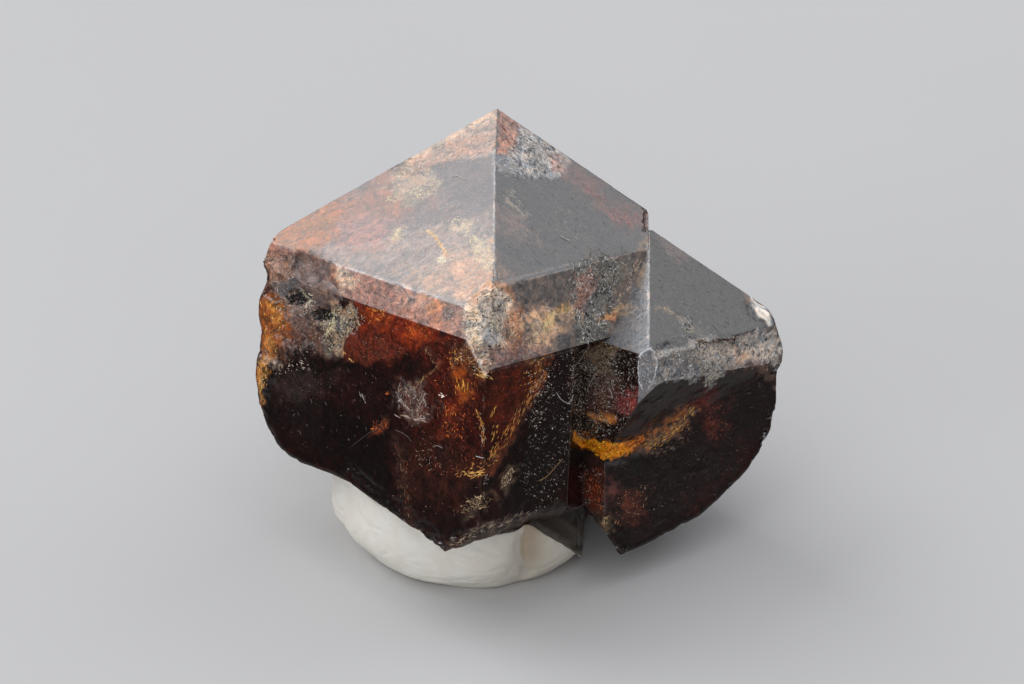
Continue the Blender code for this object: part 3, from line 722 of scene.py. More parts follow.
# outline, tint, clear, rough, grain, fleck, dark | softness, warp, strength, faces, line width
ZONES = [
    # --- upper left face -------------------------------------------------------------
    dict(at=((262, 250), (265, 225), (300, 205), (380, 160), (430, 160), (440, 190), (380, 240), (331, 262)),
         look=((0.275, 0.110, 0.070), 0.28, 0.32, 0.16, 0.6, 0.0), soft=22, warp=14, on={"PL"}),
    dict(at=((260, 262), (262, 232), (285, 210), (325, 195), (352, 205), (345, 232), (300, 252)),
         look=((0.39, 0.115, 0.018), 0.25, 0.34, 0.28, 0.7, 0.0), soft=12, warp=12, on={"PL"}),
    dict(at=((344, 222), (384, 218), (388, 240), (372, 248), (340, 246)),
         look=((0.42, 0.185, 0.155), 0.3, 0.3, 0.2, 0.4, 0.0), soft=7, warp=7, on={"PL"}),
    dict(at=((322, 252), (376, 245), (405, 236), (441, 227), (495, 218), (495, 280), (465, 306), (331, 262)),
         look=((0.31, 0.225, 0.195), 0.28, 0.27, 0.16, 0.6, 0.0), soft=8, warp=6, on={"PL"}),
    dict(at=((420, 270), (495, 240), (495, 285), (465, 307), (400, 290)),
         look=((0.50, 0.31, 0.21), 0.25, 0.3, 0.14, 0.8, 0.0), soft=12, warp=9, on={"PL"}),
    dict(at=((431, 163), (495, 155), (495, 205), (462, 206), (444, 190), (424, 176)),
         look=((0.125, 0.088, 0.098), 0.4, 0.25, 0.1, 0.2, 0.0), soft=5, warp=4, on={"PL"}),
    dict(at=((388, 178), (404, 170), (432, 172), (442, 184), (424, 200), (400, 204), (390, 196)),
         look=((0.46, 0.38, 0.28), 0.2, 0.34, 0.3, 0.8, 0.0), soft=4, warp=10, strength=0.5, on={"PL"}),
    dict(at=((383, 158), (413, 160), (418, 170), (402, 178), (383, 172)),
         look=((0.30, 0.25, 0.22), 0.12, 0.45, 1.0, 0.4, 0.5), soft=3, warp=4, strength=0.8, on={"PL"}),
    # cap above the parting line
    dict(at=((497, 104), (497, 155), (460, 158), (431, 163), (405, 168), (405, 150), (455, 120)),
         look=((0.41, 0.255, 0.19), 0.22, 0.33, 0.4, 0.9, 0.1), soft=2, warp=3, on={"PL"}),
    # pale warm band along the top left edge: a painted highlight where light grazes the edge
    dict(at=((494, 104), (430, 140), (400, 158), (408, 163), (450, 138), (492, 118)),
         look=((0.74, 0.54, 0.38), 0.12, 0.38, 0.5, 0.6, 0.0), soft=4, warp=4, strength=0.75, on={"PL"}),
    dict(at=((432, 150), (470, 140), (492, 146), (470, 154), (440, 158)),
         look=((0.50, 0.25, 0.16), 0.25, 0.33, 0.4, 0.5, 0.1), soft=5, warp=8, strength=0.4, on={"PL"}),
    dict(at=((430, 166), (448, 161), (466, 158)), width=1.3,
         look=((0.14, 0.075, 0.06), 0.2, 0.4, 0.5, 0.0, 0.0), soft=0.9, warp=1.5, strength=0.7, on={"PL"}),
    # golden flakes on it
    dict(at=((392, 236), (399, 229), (409, 227), (401, 238), (394, 240)),
         look=((0.66, 0.50, 0.32), 0.1, 0.3, 0.4, 0.9, 0.0), soft=1.5, warp=4, strength=0.35, on={"PL"}),
    dict(at=((449, 221), (466, 219), (474, 229), (466, 233), (456, 230)),
         look=((0.66, 0.52, 0.36), 0.1, 0.3, 0.4, 0.9, 0.0), soft=2.5, warp=6, strength=0.35, on={"PL"}),
    dict(at=((470, 232), (484, 240), (493, 258), (487, 266), (476, 256), (468, 240)),
         look=((0.66, 0.52, 0.36), 0.1, 0.3, 0.4, 0.9, 0.0), soft=3.5, warp=8, strength=0.4, on={"PL"}),
    dict(at=((427, 231), (434, 236), (441, 247), (447, 255)), width=3.0,
         look=((0.72, 0.42, 0.20), 0.1, 0.3, 0.4, 0.5, 0.0), soft=1.0, warp=2, strength=0.5, on={"PL"}),
    dict(at=((437, 258), (445, 256), (446, 262), (440, 262)),
         look=((0.80, 0.68, 0.48), 0.0, 0.35, 0.6, 0.5, 0.0), soft=0.9, warp=1.5, strength=0.7, on={"PL"}),
    dict(at=((322, 250), (350, 247), (376, 243), (405, 235), (441, 226)), width=2.2,
         look=((0.50, 0.38, 0.34), 0.2, 0.33, 0.6, 0.5, 0.0), soft=1.5, warp=2, strength=0.6, on={"PL"}),
    dict(at=((462, 300), (478, 272), (496, 262), (500, 290), (488, 300)),
         look=((0.60, 0.30, 0.17), 0.35, 0.3, 0.3, 0.5, 0.0), soft=6, warp=7, strength=0.6, on={"PL"}),
    dict(at=((430, 283), (452, 272), (478, 275), (470, 290), (448, 292)),
         look=((0.62, 0.34, 0.22), 0.35, 0.3, 0.3, 0.4, 0.0), soft=6, warp=6, strength=0.6, on={"PL"}),
    # --- upper right face ------------------------------------------------------------
    dict(at=((499, 104), (522, 122), (518, 142), (508, 160), (500, 158), (497, 120)),
         look=((0.70, 0.37, 0.28), 0.14, 0.4, 0.9, 0.6, 0.4), soft=2.5, warp=3, on={"PR"}),
    dict(at=((521, 118), (545, 138), (572, 160), (560, 178), (530, 180), (500, 174), (499, 160), (512, 150)),
         look=((0.56, 0.54, 0.52), 0.10, 0.24, 1.0, 0.3, 0.65), soft=3, warp=4, on={"PR"}),
    dict(at=((548, 150), (560, 158), (566, 172), (556, 170), (549, 160)),
         look=((0.62, 0.4, 0.34), 0.2, 0.3, 0.5, 0.2, 0.0), soft=2.5, warp=3, strength=0.8, on={"PR"}),
    dict(at=((560, 162), (600, 184), (640, 215), (645, 228), (620, 226), (588, 196), (562, 172)),
         look=((0.26, 0.11, 0.095), 0.4, 0.26, 0.3, 0.1, 0.0), soft=8, warp=8, strength=0.85, on={"PR"}),
    dict(at=((610, 206), (634, 220), (632, 228), (614, 220)),
         look=((0.34, 0.10, 0.09), 0.40, 0.26, 0.3, 0.1, 0.0), soft=4, warp=4, strength=0.7, on={"PR"}),
    dict(at=((497, 206), (520, 218), (545, 244), (520, 240), (497, 226)),
         look=((0.27, 0.19, 0.17), 0.33, 0.28, 0.4, 0.3, 0.0), soft=6, warp=6, strength=0.7, on={"PR"}),
    dict(at=((507, 190), (516, 198), (530, 218), (522, 216), (510, 202)),
         look=((0.40, 0.37, 0.33), 0.1, 0.3, 0.8, 0.5, 0.0), soft=2.5, warp=5, strength=0.7, on={"PR"}),
    dict(at=((497, 250), (508, 262), (516, 281), (506, 284), (497, 272)),
         look=((0.44, 0.27, 0.19), 0.25, 0.35, 0.6, 0.7, 0.2), soft=4, warp=9, strength=0.45, on={"PR"}),
    # --- narrow steep faces and the front chip ------------------------------------------
    dict(at=((334, 262), (350, 268), (357, 282), (352, 292), (338, 290)),
         look=((0.72, 0.52, 0.36), 0.1, 0.5, 0.9, 0.7, 0.1), soft=3, warp=5, strength=0.8, on={"SL", "PL"}),
    dict(at=((424, 296), (440, 296), (440, 316), (430, 320), (424, 308)),
         look=((0.9, 0.36, 0.15), 0.3, 0.4, 0.6, 0.5, 0.1), soft=4, warp=8, strength=0.7, on={"SL"}),
    dict(at=((360, 272), (400, 285), (420, 300), (424, 322), (390, 312), (352, 296)),
         look=((0.46, 0.22, 0.165), 0.22, 0.45, 0.9, 0.4, 0.25), soft=5, warp=6, strength=0.7, on={"SL"}),
    dict(at=((396, 290), (422, 296), (424, 316), (402, 310)),
         look=((0.74, 0.46, 0.36), 0.15, 0.45, 0.9, 0.6, 0.2), soft=5, warp=8, strength=0.6, on={"SL"}),
    dict(at=((440, 308), (466, 312), (470, 334), (450, 332)),
         look=((0.46, 0.28, 0.23), 0.2, 0.45, 0.9, 0.5, 0.25), soft=4, warp=5, strength=0.7, on={"SL"}),
    dict(at=((465, 304), (480, 286), (497, 283), (513, 296), (518, 330), (506, 352), (489, 371), (472, 354),
             (463, 332)),
         look=((0.90, 0.74, 0.58), 0.05, 0.55, 1.0, 0.6, 0.45), soft=2.5, warp=5, on={"CHIP", "SL", "SR", "PL", "PR", "ML", "MR"}),
    dict(at=((474, 300), (484, 289), (497, 284), (508, 289), (514, 300)), width=5.0,
         look=((0.9, 0.38, 0.17), 0.3, 0.35, 0.5, 0.3, 0.0), soft=3, warp=3, strength=0.9,
         on={"CHIP", "SL", "SR", "PL", "PR"}),
    dict(at=((478, 300), (494, 296), (502, 308), (500, 322), (486, 322), (476, 312)),
         look=((0.30, 0.28, 0.26), 0.1, 0.5, 1.0, 0.4, 0.7), soft=4, warp=6, strength=0.7, on={"CHIP", "SL", "SR"}),
    dict(at=((474, 346), (500, 344), (499, 362), (488, 371), (476, 358)),
         look=((0.36, 0.19, 0.13), 0.2, 0.45, 1.0, 0.7, 0.5), soft=3, warp=5, strength=0.85, on={"CHIP", "SL", "SR", "ML", "MR"}),
    dict(at=((482, 328), (496, 326), (500, 342), (488, 348)),
         look=((0.42, 0.42, 0.43), 0.1, 0.5, 1.0, 0.3, 0.4), soft=3, warp=4, strength=0.8, on={"CHIP", "SL", "SR"}),
    dict(at=((505, 312), (524, 306), (532, 326), (522, 350), (500, 364), (492, 362), (506, 340)),
         look=((0.54, 0.23, 0.115), 0.3, 0.33, 0.8, 0.7, 0.25), soft=4, warp=7, strength=0.85, on={"SR", "CHIP", "MR"}),
    dict(at=((490, 350), (520, 345), (545, 340), (545, 352), (515, 362), (492, 371)),
         look=((0.34, 0.19, 0.17), 0.25, 0.35, 0.6, 0.4, 0.1), soft=4, warp=4, strength=0.8, on={"SR", "CHIP", "MR"}),
    dict(at=((524, 320), (550, 308), (576, 306), (572, 330), (545, 340), (526, 338)),
         look=((0.90, 0.58, 0.36), 0.15, 0.34, 0.8, 0.8, 0.25), soft=5, warp=10, strength=0.8, on={"SR"}),
    dict(at=((556, 314), (574, 312), (574, 330), (560, 336), (552, 326)),
         look=((0.22, 0.18, 0.155), 0.25, 0.36, 0.8, 0.4, 0.3), soft=4, warp=7, strength=0.7, on={"SR"}),
    dict(at=((542, 326), (546, 314), (556, 310), (554, 324), (548, 330)),
         look=((0.90, 0.58, 0.22), 0.0, 0.25, 0.7, 0.4, 0.0), soft=1.3, warp=3, strength=0.5, on={"SR"}),
    dict(at=((556, 306), (568, 302), (572, 310), (562, 314)),
         look=((0.55, 0.34, 0.12), 0.2, 0.3, 0.7, 0.5, 0.0), soft=2, warp=3, strength=0.9, on={"SR"}),
    # crust between the crystals
    dict(at=((576, 260), (604, 250), (630, 252), (636, 268), (612, 306), (602, 340), (578, 346), (572, 300)),
         look=((0.19, 0.18, 0.155), 0.06, 0.5, 1.0, 0.45, 0.85), soft=4, warp=7, strength=0.95,
         on={"PR", "SR", "RIGHT", "NL", "MR", "STEP"}),
    dict(at=((575, 275), (590, 270), (596, 290), (584, 312), (574, 305)),
         look=((0.45, 0.23, 0.18), 0.2, 0.4, 0.8, 0.3, 0.4), soft=4, warp=6, strength=0.8, on={"PR", "SR"}),
    # --- broken shoulder ----------------------------------------------------------------
    dict(at=((262, 252), (300, 250), (331, 262), (338, 293), (330, 312), (300, 318), (270, 300), (258, 280)),
         look=((0.17, 0.096, 0.076), 0.22, 0.42, 0.9, 0.3, 0.35), soft=4, warp=6),
    dict(at=((258, 258), (280, 252), (292, 262), (286, 280), (268, 290), (256, 276)),
         look=((0.46, 0.22, 0.13), 0.4, 0.35, 0.5, 0.3, 0.0), soft=5, warp=6, strength=0.85),
    dict(at=((268, 284), (292, 278), (300, 290), (290, 298), (274, 296)),
         look=((0.13, 0.12, 0.12), 0.15, 0.5, 1.0, 0.1, 0.5), soft=3, warp=5, strength=0.8),
    dict(at=((262, 296), (282, 294), (300, 306), (318, 318), (308, 330), (280, 322), (262, 312)),
         look=((0.35, 0.23, 0.18), 0.15, 0.45, 0.9, 0.4, 0.3), soft=3, warp=5, strength=0.85),
    # the orange down the left end: painted glow of light shining through the thin edge
    dict(at=((254, 298), (270, 296), (282, 306), (288, 340), (276, 362), (262, 372), (254, 345)),
         look=((0.58, 0.150, 0.018), 0.5, 0.22, 0.35, 0.2, 0.0), soft=3.5, warp=4),
    dict(at=((264, 302), (280, 304), (282, 322), (268, 322)),
         look=((0.64, 0.23, 0.028), 0.25, 0.22, 0.35, 0.3, 0.0), soft=3, warp=4, strength=0.9),
    dict(at=((260, 334), (276, 334), (274, 356), (262, 356)),
         look=((0.72, 0.25, 0.035), 0.25, 0.22, 0.35, 0.3, 0.0), soft=3, warp=4, strength=0.9),
    dict(at=((254, 358), (270, 358), (268, 386), (260, 410), (254, 400)),
         look=((0.90, 0.40, 0.08), 0.3, 0.25, 0.35, 0.2, 0.0), soft=2.5, warp=3, strength=0.95),
    dict(at=((281, 325), (310, 316), (342, 330), (346, 352), (320, 362), (284, 356)),
         look=((0.17, 0.07, 0.045), 0.35, 0.38, 0.8, 0.4, 0.3), soft=6, warp=8, strength=0.9),
    dict(at=((328, 305), (352, 306), (366, 312), (360, 330), (350, 338), (344, 352), (332, 352), (322, 338),
             (318, 322)),
         look=((0.31, 0.195, 0.10), 0.05, 0.6, 1.0, 0.9, 0.9), soft=3, warp=8, strength=0.95),
    dict(at=((326, 318), (342, 316), (348, 326), (338, 334), (328, 330)),
         look=((0.24, 0.25, 0.24), 0.05, 0.5, 1.0, 0.4, 0.7), soft=3, warp=5, strength=0.7),
    dict(at=((262, 356), (296, 358), (300, 368), (280, 370), (262, 372)),
         look=((0.34, 0.29, 0.23), 0.1, 0.55, 0.9, 0.7, 0.3), soft=3, warp=8, strength=0.75),
    # near black in the two pits: painted shade in their hollows
    dict(at=((286, 296), (300, 293), (309, 300), (300, 308), (288, 305)),
         look=((0.006, 0.006, 0.006), 0.0, 0.5, 0.8, 0.0, 0.0), soft=2, warp=3),
    dict(at=((313, 311), (322, 309), (331, 317), (322, 322), (314, 319)),
         look=((0.005, 0.005, 0.005), 0.0, 0.5, 0.8, 0.0, 0.0), soft=2, warp=3),
    # --- lower left face: painted glow under the steep face, the dark end, the red window with its partly painted glow ---
    dict(at=((338, 292), (380, 304), (425, 322), (467, 336), (452, 350), (440, 342), (424, 350), (404, 358),
             (372, 364), (344, 356), (352, 334), (364, 312)),
         look=((0.46, 0.044, 0.006), 0.66, 0.12, 0.2, 0.1, 0.0), soft=5, warp=7, on={"ML"}),
    dict(at=((372, 322), (398, 330), (404, 342), (380, 346), (366, 336)),
         look=((0.21, 0.026, 0.006), 0.72, 0.14, 0.2, 0.1, 0.0), soft=6, warp=8, strength=0.65, on={"ML"}),
    dict(at=((366, 306), (384, 308), (396, 318), (388, 326), (370, 318)),
         look=((0.80, 0.13, 0.012), 0.45, 0.14, 0.2, 0.15, 0.0), soft=5, warp=8, strength=0.4, on={"ML"}),
    dict(at=((404, 322), (428, 328), (436, 338), (418, 342), (402, 334)),
         look=((0.80, 0.11, 0.010), 0.45, 0.14, 0.2, 0.15, 0.0), soft=4, warp=8, strength=0.6, on={"ML"}),
    dict(at=((345, 340), (372, 334), (400, 340), (404, 356), (370, 364), (346, 358)),
         look=((0.22, 0.040, 0.012), 0.65, 0.2, 0.3, 0.15, 0.0), soft=6, warp=8, strength=0.7, on={"ML"}),
    dict(at=((262, 366), (300, 352), (345, 358), (378, 364), (396, 384), (394, 424), (386, 470), (345, 470),
             (300, 462), (262, 430)),
         look=((0.055, 0.016, 0.012), 0.955, 0.07, 0.06, 0.0, 0.0), soft=7, warp=7, on={"ML", "LLC", "SIDE"}),
    dict(at=((268, 368), (298, 364), (336, 372), (334, 396), (300, 404), (272, 394)),
         look=((0.060, 0.038, 0.034), 0.62, 0.2, 0.4, 0.25, 0.2), soft=12, warp=12, strength=0.8, on={"ML", "LLC"}),
    dict(at=((272, 400), (318, 408), (330, 440), (300, 446), (276, 424)),
         look=((0.050, 0.024, 0.022), 0.8, 0.14, 0.2, 0.1, 0.0), soft=12, warp=12, strength=0.6, on={"ML", "LLC"}),
    dict(at=((330, 375), (385, 372), (392, 395), (372, 415), (340, 410), (322, 392)),
         look=((0.14, 0.03, 0.024), 0.9, 0.08, 0.06, 0.0, 0.0), soft=14, warp=10, strength=0.8, on={"ML"}),
    dict(at=((404, 352), (424, 345), (436, 356), (440, 366), (424, 380), (408, 376)),
         look=((0.030, 0.012, 0.009), 0.93, 0.09, 0.1, 0.0, 0.1), soft=4, warp=4, on={"ML"}),
    dict(at=((418, 340), (452, 336), (486, 344), (528, 350), (528, 398), (512, 430), (484, 470), (440, 474),
             (418, 440), (412, 400)),
         look=((0.20, 0.024, 0.008), 0.84, 0.08, 0.12, 0.0, 0.0), soft=12, warp=10, on={"ML", "MR"}),
    dict(at=((434, 352), (452, 346), (470, 362), (476, 400), (462, 436), (442, 440), (432, 410), (430, 378)),
         look=((0.30, 0.034, 0.009), 0.76, 0.1, 0.15, 0.05, 0.0), soft=9, warp=12, strength=0.7, on={"ML"}),
    dict(at=((456, 344), (486, 344), (492, 366), (492, 384), (472, 378), (458, 362)),
         look=((0.34, 0.12, 0.030), 0.55, 0.2, 0.5, 0.8, 0.2), soft=5, warp=9, strength=0.65, on={"ML"}),
    dict(at=((454, 370), (466, 368), (470, 398), (460, 400)),
         look=((0.95, 0.22, 0.02), 0.3, 0.15, 0.3, 0.1, 0.0), soft=3.5, warp=7, strength=0.5, on={"ML"}),
    dict(at=((443, 404), (456, 406), (456, 418), (445, 418)),
         look=((0.60, 0.09, 0.012), 0.5, 0.15, 0.3, 0.2, 0.0), soft=4, warp=7, strength=0.5, on={"ML"}),
    dict(at=((438, 420), (454, 422), (456, 438), (440, 440)),
         look=((0.45, 0.07, 0.012), 0.6, 0.15, 0.3, 0.2, 0.0), soft=5, warp=7, strength=0.45, on={"ML"}),
    dict(at=((371, 426), (377, 417), (387, 418), (388, 427), (378, 436), (371, 433)),
         look=((0.40, 0.075, 0.013), 0.6, 0.15, 0.4, 0.3, 0.4), soft=2.5, warp=6, strength=0.75, on={"ML"}),
    dict(at=((395, 386), (412, 382), (428, 392), (428, 424), (410, 420), (398, 410)),
         look=((0.28, 0.18, 0.14), 0.45, 0.35, 0.9, 0.8, 0.5), soft=7, warp=13, strength=0.5, on={"ML"}),
    dict(at=((408, 382), (416, 386), (414, 394), (406, 390)),
         look=((0.46, 0.40, 0.33), 0.1, 0.45, 1.0, 0.7, 0.3), soft=2, warp=4, strength=0.4, on={"ML"}),
    dict(at=((437, 365), (428, 374), (416, 385), (402, 392)), width=2.4,
         look=((0.46, 0.28, 0.12), 0.2, 0.35, 0.6, 0.6, 0.2), soft=1.2, warp=3, strength=0.32, on={"ML"}),
    dict(at=((426, 348), (434, 352), (440, 364), (434, 372)), width=2.6,
         look=((0.30, 0.17, 0.09), 0.3, 0.35, 0.6, 0.6, 0.3), soft=2, warp=4, strength=0.35, on={"ML"}),
    dict(at=((394, 440), (450, 444), (486, 474), (500, 470), (530, 500), (490, 530), (447, 550), (396, 520)),
         look=((0.075, 0.018, 0.010), 0.9, 0.12, 0.2, 0.05, 0.05), soft=6, warp=6, on={"ML", "MR", "LFB"}),
    dict(at=((406, 446), (450, 444), (468, 470), (452, 500), (416, 498), (402, 470)),
         look=((0.21, 0.045, 0.020), 0.80, 0.12, 0.2, 0.1, 0.0), soft=12, warp=12, strength=0.75, on={"ML"}),
    dict(at=((345, 462), (386, 462), (394, 480), (394, 520), (372, 500)),
         look=((0.030, 0.011, 0.008), 0.92, 0.12, 0.15, 0.0, 0.0), soft=5, warp=4, on={"ML"}),
    dict(at=((395, 436), (402, 470), (404, 500), (408, 530)), width=7,
         look=((0.17, 0.06, 0.03), 0.7, 0.2, 0.4, 0.2, 0.0), soft=5, warp=4, strength=0.7, on={"ML"}),
    dict(at=((450, 470), (486, 448), (500, 452), (494, 472), (470, 482)),
         look=((0.24, 0.048, 0.012), 0.74, 0.14, 0.3, 0.2, 0.0), soft=6, warp=8, strength=0.7, on={"ML", "MR"}),
    # golden band that curves down to the front edge, and what lies right of the red window
    dict(at=((530, 372), (548, 360), (546, 384), (528, 412), (512, 440), (498, 462), (488, 476), (483, 468),
             (496, 448), (512, 420), (522, 396)),
         look=((0.44, 0.11, 0.025), 0.55, 0.16, 0.4, 0.3, 0.0), soft=3, warp=5, strength=0.6, on={"MR", "ML"}),
    dict(at=((489, 372), (520, 364), (552, 352), (556, 362), (530, 385), (516, 412), (498, 432), (487, 420)),
         look=((0.26, 0.040, 0.011), 0.70, 0.1, 0.15, 0.05, 0.0), soft=5, warp=6, strength=0.9, on={"MR", "ML"}),
    dict(at=((524, 352), (548, 342), (552, 362), (534, 380), (524, 368)),
         look=((0.38, 0.15, 0.045), 0.55, 0.16, 0.4, 0.6, 0.1), soft=4, warp=7, strength=0.55, on={"MR"}),
    dict(at=((501, 489), (500, 478), (510, 467), (516, 466), (512, 480), (505, 490)),
         look=((0.42, 0.31, 0.18), 0.1, 0.4, 0.8, 0.7, 0.4), soft=2.2, warp=6, strength=0.35, on={"MR", "ML"}),
    dict(at=((453, 512), (462, 500), (484, 494), (496, 498), (486, 508), (468, 514)),
         look=((0.25, 0.14, 0.06), 0.4, 0.4, 0.8, 0.8, 0.5), soft=4.5, warp=11, strength=0.45, on={"ML", "LFB", "MR"}),
    dict(at=((448, 546), (470, 533), (500, 521), (535, 512)), width=7,
         look=((0.15, 0.095, 0.065), 0.45, 0.4, 0.9, 0.5, 0.4), soft=3, warp=4, strength=0.7, on={"ML", "LFB", "MR", "UNDER"}),
    # --- right of the step: dark, under white dust -------------------------------------------
    dict(at=((556, 346), (600, 336), (640, 344), (640, 398), (632, 430), (604, 450), (560, 470), (520, 520),
             (500, 518), (530, 440), (552, 390)),
         look=((0.035, 0.018, 0.014), 0.88, 0.12, 0.2, 0.0, 0.0), soft=4, warp=4, strength=0.9,
         on={"MR", "MR2", "STEP", "NPL", "RIGHT"}),
    dict(at=((578, 340), (604, 334), (622, 340), (606, 366), (580, 372)),
         look=((0.30, 0.19, 0.09), 0.35, 0.35, 0.9, 0.8, 0.5), soft=5, warp=9, strength=0.6, on={"MR2", "NPL", "STEP", "RIGHT"}),
    dict(at=((586, 350), (614, 346), (620, 372), (604, 398), (588, 392), (582, 370)),
         look=((0.24, 0.15, 0.085), 0.45, 0.4, 0.9, 0.8, 0.6), soft=7, warp=13, strength=0.5, on={"NPL", "RIGHT"}),
    dict(at=((612, 392), (624, 384), (638, 390), (638, 412), (626, 418), (612, 408)),
         look=((0.70, 0.14, 0.125), 0.6, 0.14, 0.2, 0.0, 0.0), soft=8, warp=7, strength=0.85, on={"NPL"}),
    dict(at=((596, 380), (616, 378), (620, 412), (600, 424), (588, 404)),
         look=((0.34, 0.14, 0.12), 0.6, 0.2, 0.3, 0.1, 0.0), soft=8, warp=6, strength=0.7, on={"NPL"}),
    dict(at=((588, 413), (600, 417), (612, 423)), width=6,
         look=((0.8, 0.3, 0.06), 0.25, 0.25, 0.6, 0.3, 0.1), soft=2.5, warp=4, strength=0.9, on={"NPL"}),
    dict(at=((584, 470), (596, 468), (604, 480), (603, 508), (592, 500), (584, 486)),
         look=((0.38, 0.06, 0.018), 0.7, 0.15, 0.3, 0.1, 0.0), soft=6, warp=7, strength=0.8, on={"NPL", "K2", "NU1"}),
    # golden vein
    dict(at=((570, 433), (580, 436), (596, 440), (616, 443), (630, 446), (632, 451), (621, 456), (607, 460),
             (597, 457), (590, 449), (574, 442)),
         look=((1.0, 0.34, 0.006), 0.0, 0.34, 0.9, 0.0, 0.15), soft=1.8, warp=4, on={"NPL", "K", "K2", "MR2"}),
    dict(at=((626, 444), (642, 435), (646, 441), (634, 452)),
         look=((0.75, 0.16, 0.015), 0.3, 0.25, 0.8, 0.1, 0.4), soft=2.5, warp=4, strength=0.65, on=SMALL_FRONTS | {"NPL"}),
    dict(at=((640, 443), (656, 440), (672, 430), (684, 417), (692, 409)), width=10,
         look=((0.62, 0.20, 0.035), 0.38, 0.28, 0.8, 0.5, 0.3), soft=3.5, warp=8, strength=0.8, on=SMALL_FRONTS),
    dict(at=((640, 450), (660, 446), (676, 436)), width=8,
         look=((0.20, 0.135, 0.085), 0.45, 0.35, 0.7, 0.4, 0.4), soft=3, warp=7, strength=0.5, on=SMALL_FRONTS),
    dict(at=((700, 398), (722, 400), (728, 425), (716, 442), (702, 430)),
         look=((0.36, 0.07, 0.04), 0.78, 0.16, 0.2, 0.0, 0.0), soft=9, warp=8, strength=0.8, on=SMALL_FRONTS),
    dict(at=((640, 384), (660, 386), (700, 378), (704, 392), (672, 420), (640, 440)),
         look=((0.022, 0.010, 0.008), 0.9, 0.14, 0.15, 0.0, 0.0), soft=6, warp=6, strength=0.8, on=SMALL_FRONTS),
    dict(at=((622, 490), (646, 484), (650, 498), (634, 522), (618, 528), (612, 510)),
         look=((0.34, 0.085, 0.035), 0.7, 0.18, 0.3, 0.1, 0.1), soft=8, warp=9, strength=0.75, on=SMALL_FRONTS),
    dict(at=((604, 478), (620, 476), (622, 492), (608, 500)),
         look=((0.34, 0.12, 0.11), 0.66, 0.18, 0.3, 0.0, 0.0), soft=5, warp=5, strength=0.8, on=SMALL_FRONTS | {"NPL"}),
    dict(at=((640, 470), (700, 452), (745, 452), (735, 490), (690, 520), (650, 535)),
         look=((0.030, 0.016, 0.010), 0.86, 0.2, 0.4, 0.1, 0.2), soft=10, warp=10, strength=0.7, on=SMALL_FRONTS),
    dict(at=((599, 530), (601, 518), (610, 515), (612, 522), (605, 533)),
         look=((0.48, 0.33, 0.13), 0.15, 0.4, 0.8, 0.6, 0.4), soft=2.5, warp=6, strength=0.4,
         on=SMALL_FRONTS | {"NPL", "NU1", "NU2"}),
    # --- smaller crystal's pyramid --------------------------------------------------------------
    dict(at=((629, 280), (634, 262), (643, 240), (650, 236), (646, 262), (636, 284)),
         look=((0.62, 0.40, 0.23), 0.15, 0.35, 0.8, 0.8, 0.4), soft=3, warp=7, strength=0.45, on={"NL", "PR"}),
    dict(at=((604, 321), (606, 314), (618, 308), (632, 304), (633, 307), (620, 312), (610, 320)),
         look=((0.78, 0.5, 0.24), 0.12, 0.35, 0.8, 0.8, 0.4), soft=2, warp=6, strength=0.5, on={"NL", "SR", "PR", "RIGHT"}),
    dict(at=((603, 320), (612, 312), (618, 314), (612, 324)),
         look=((0.80, 0.25, 0.07), 0.25, 0.3, 0.5, 0.3, 0.3), soft=2.5, warp=5, strength=0.6, on={"NL", "SR", "RIGHT", "NPL"}),
    dict(at=((656, 228), (672, 234), (688, 256), (684, 266), (670, 252), (656, 240)),
         look=((0.20, 0.115, 0.10), 0.4, 0.26, 0.3, 0.1, 0.0), soft=5, warp=6, strength=0.8, on={"NR"}),
    dict(at=((655, 308), (668, 309), (680, 316), (690, 328)), width=3,
         look=((0.36, 0.26, 0.17), 0.2, 0.35, 0.7, 0.7, 0.1), soft=1.8, warp=4, strength=0.7, on={"NR"}),
    dict(at=((655, 348), (700, 342), (745, 335), (776, 330), (785, 345), (784, 366), (760, 364), (734, 368),
             (720, 378), (711, 390), (702, 379), (656, 388)),
         look=((0.50, 0.475, 0.44), 0.06, 0.45, 1.0, 0.6, 0.6), soft=2.2, warp=5, strength=0.9, on={"NR", "NPR", "K"}),
    dict(at=((704, 342), (730, 338), (746, 344), (738, 352), (716, 352)),
         look=((0.16, 0.15, 0.13), 0.1, 0.5, 1.0, 0.4, 0.6), soft=3, warp=6, strength=0.6, on={"NR", "NPR"}),
    dict(at=((720, 352), (752, 344), (778, 342), (780, 356), (760, 362), (740, 360)),
         look=((0.95, 0.82, 0.70), 0.04, 0.45, 1.0, 0.7, 0.4), soft=4, warp=5, strength=0.8, on={"NR", "NPR"}),
    dict(at=((656, 354), (698, 346), (704, 372), (690, 378), (656, 386)),
         look=((0.27, 0.265, 0.26), 0.1, 0.36, 0.6, 0.4, 0.25), soft=5, warp=8, strength=0.75, on={"NR", "NPR"}),
    dict(at=((680, 316), (690, 318), (704, 336), (700, 348), (688, 340)),
         look=((0.40, 0.37, 0.33), 0.1, 0.4, 0.9, 0.6, 0.5), soft=4, warp=9, strength=0.5, on={"NR", "NPR"}),
    dict(at=((736, 344), (750, 346), (762, 362), (764, 374), (754, 368), (742, 356)),
         look=((0.60, 0.35, 0.22), 0.2, 0.4, 0.8, 0.5, 0.2), soft=4, warp=7, strength=0.6, on={"NR", "NPR"}),
    dict(at=((756, 362), (764, 356), (774, 372), (778, 388), (770, 388), (760, 376)),
         look=((0.40, 0.20, 0.12), 0.35, 0.4, 0.9, 0.7, 0.6), soft=4, warp=9, strength=0.55),
    # near-white lens on the smaller crystal's right shoulder: a painted highlight on a small chipped facet
    dict(at=((750, 294), (760, 299), (770, 314), (773, 326), (765, 322), (755, 308)),
         look=((0.92, 0.86, 0.78), 0.0, 0.4, 0.4, 0.0, 0.0), soft=1.8, warp=1.5, on={"NR"}),
    dict(at=((742, 286), (752, 290), (758, 300), (750, 302), (744, 294)),
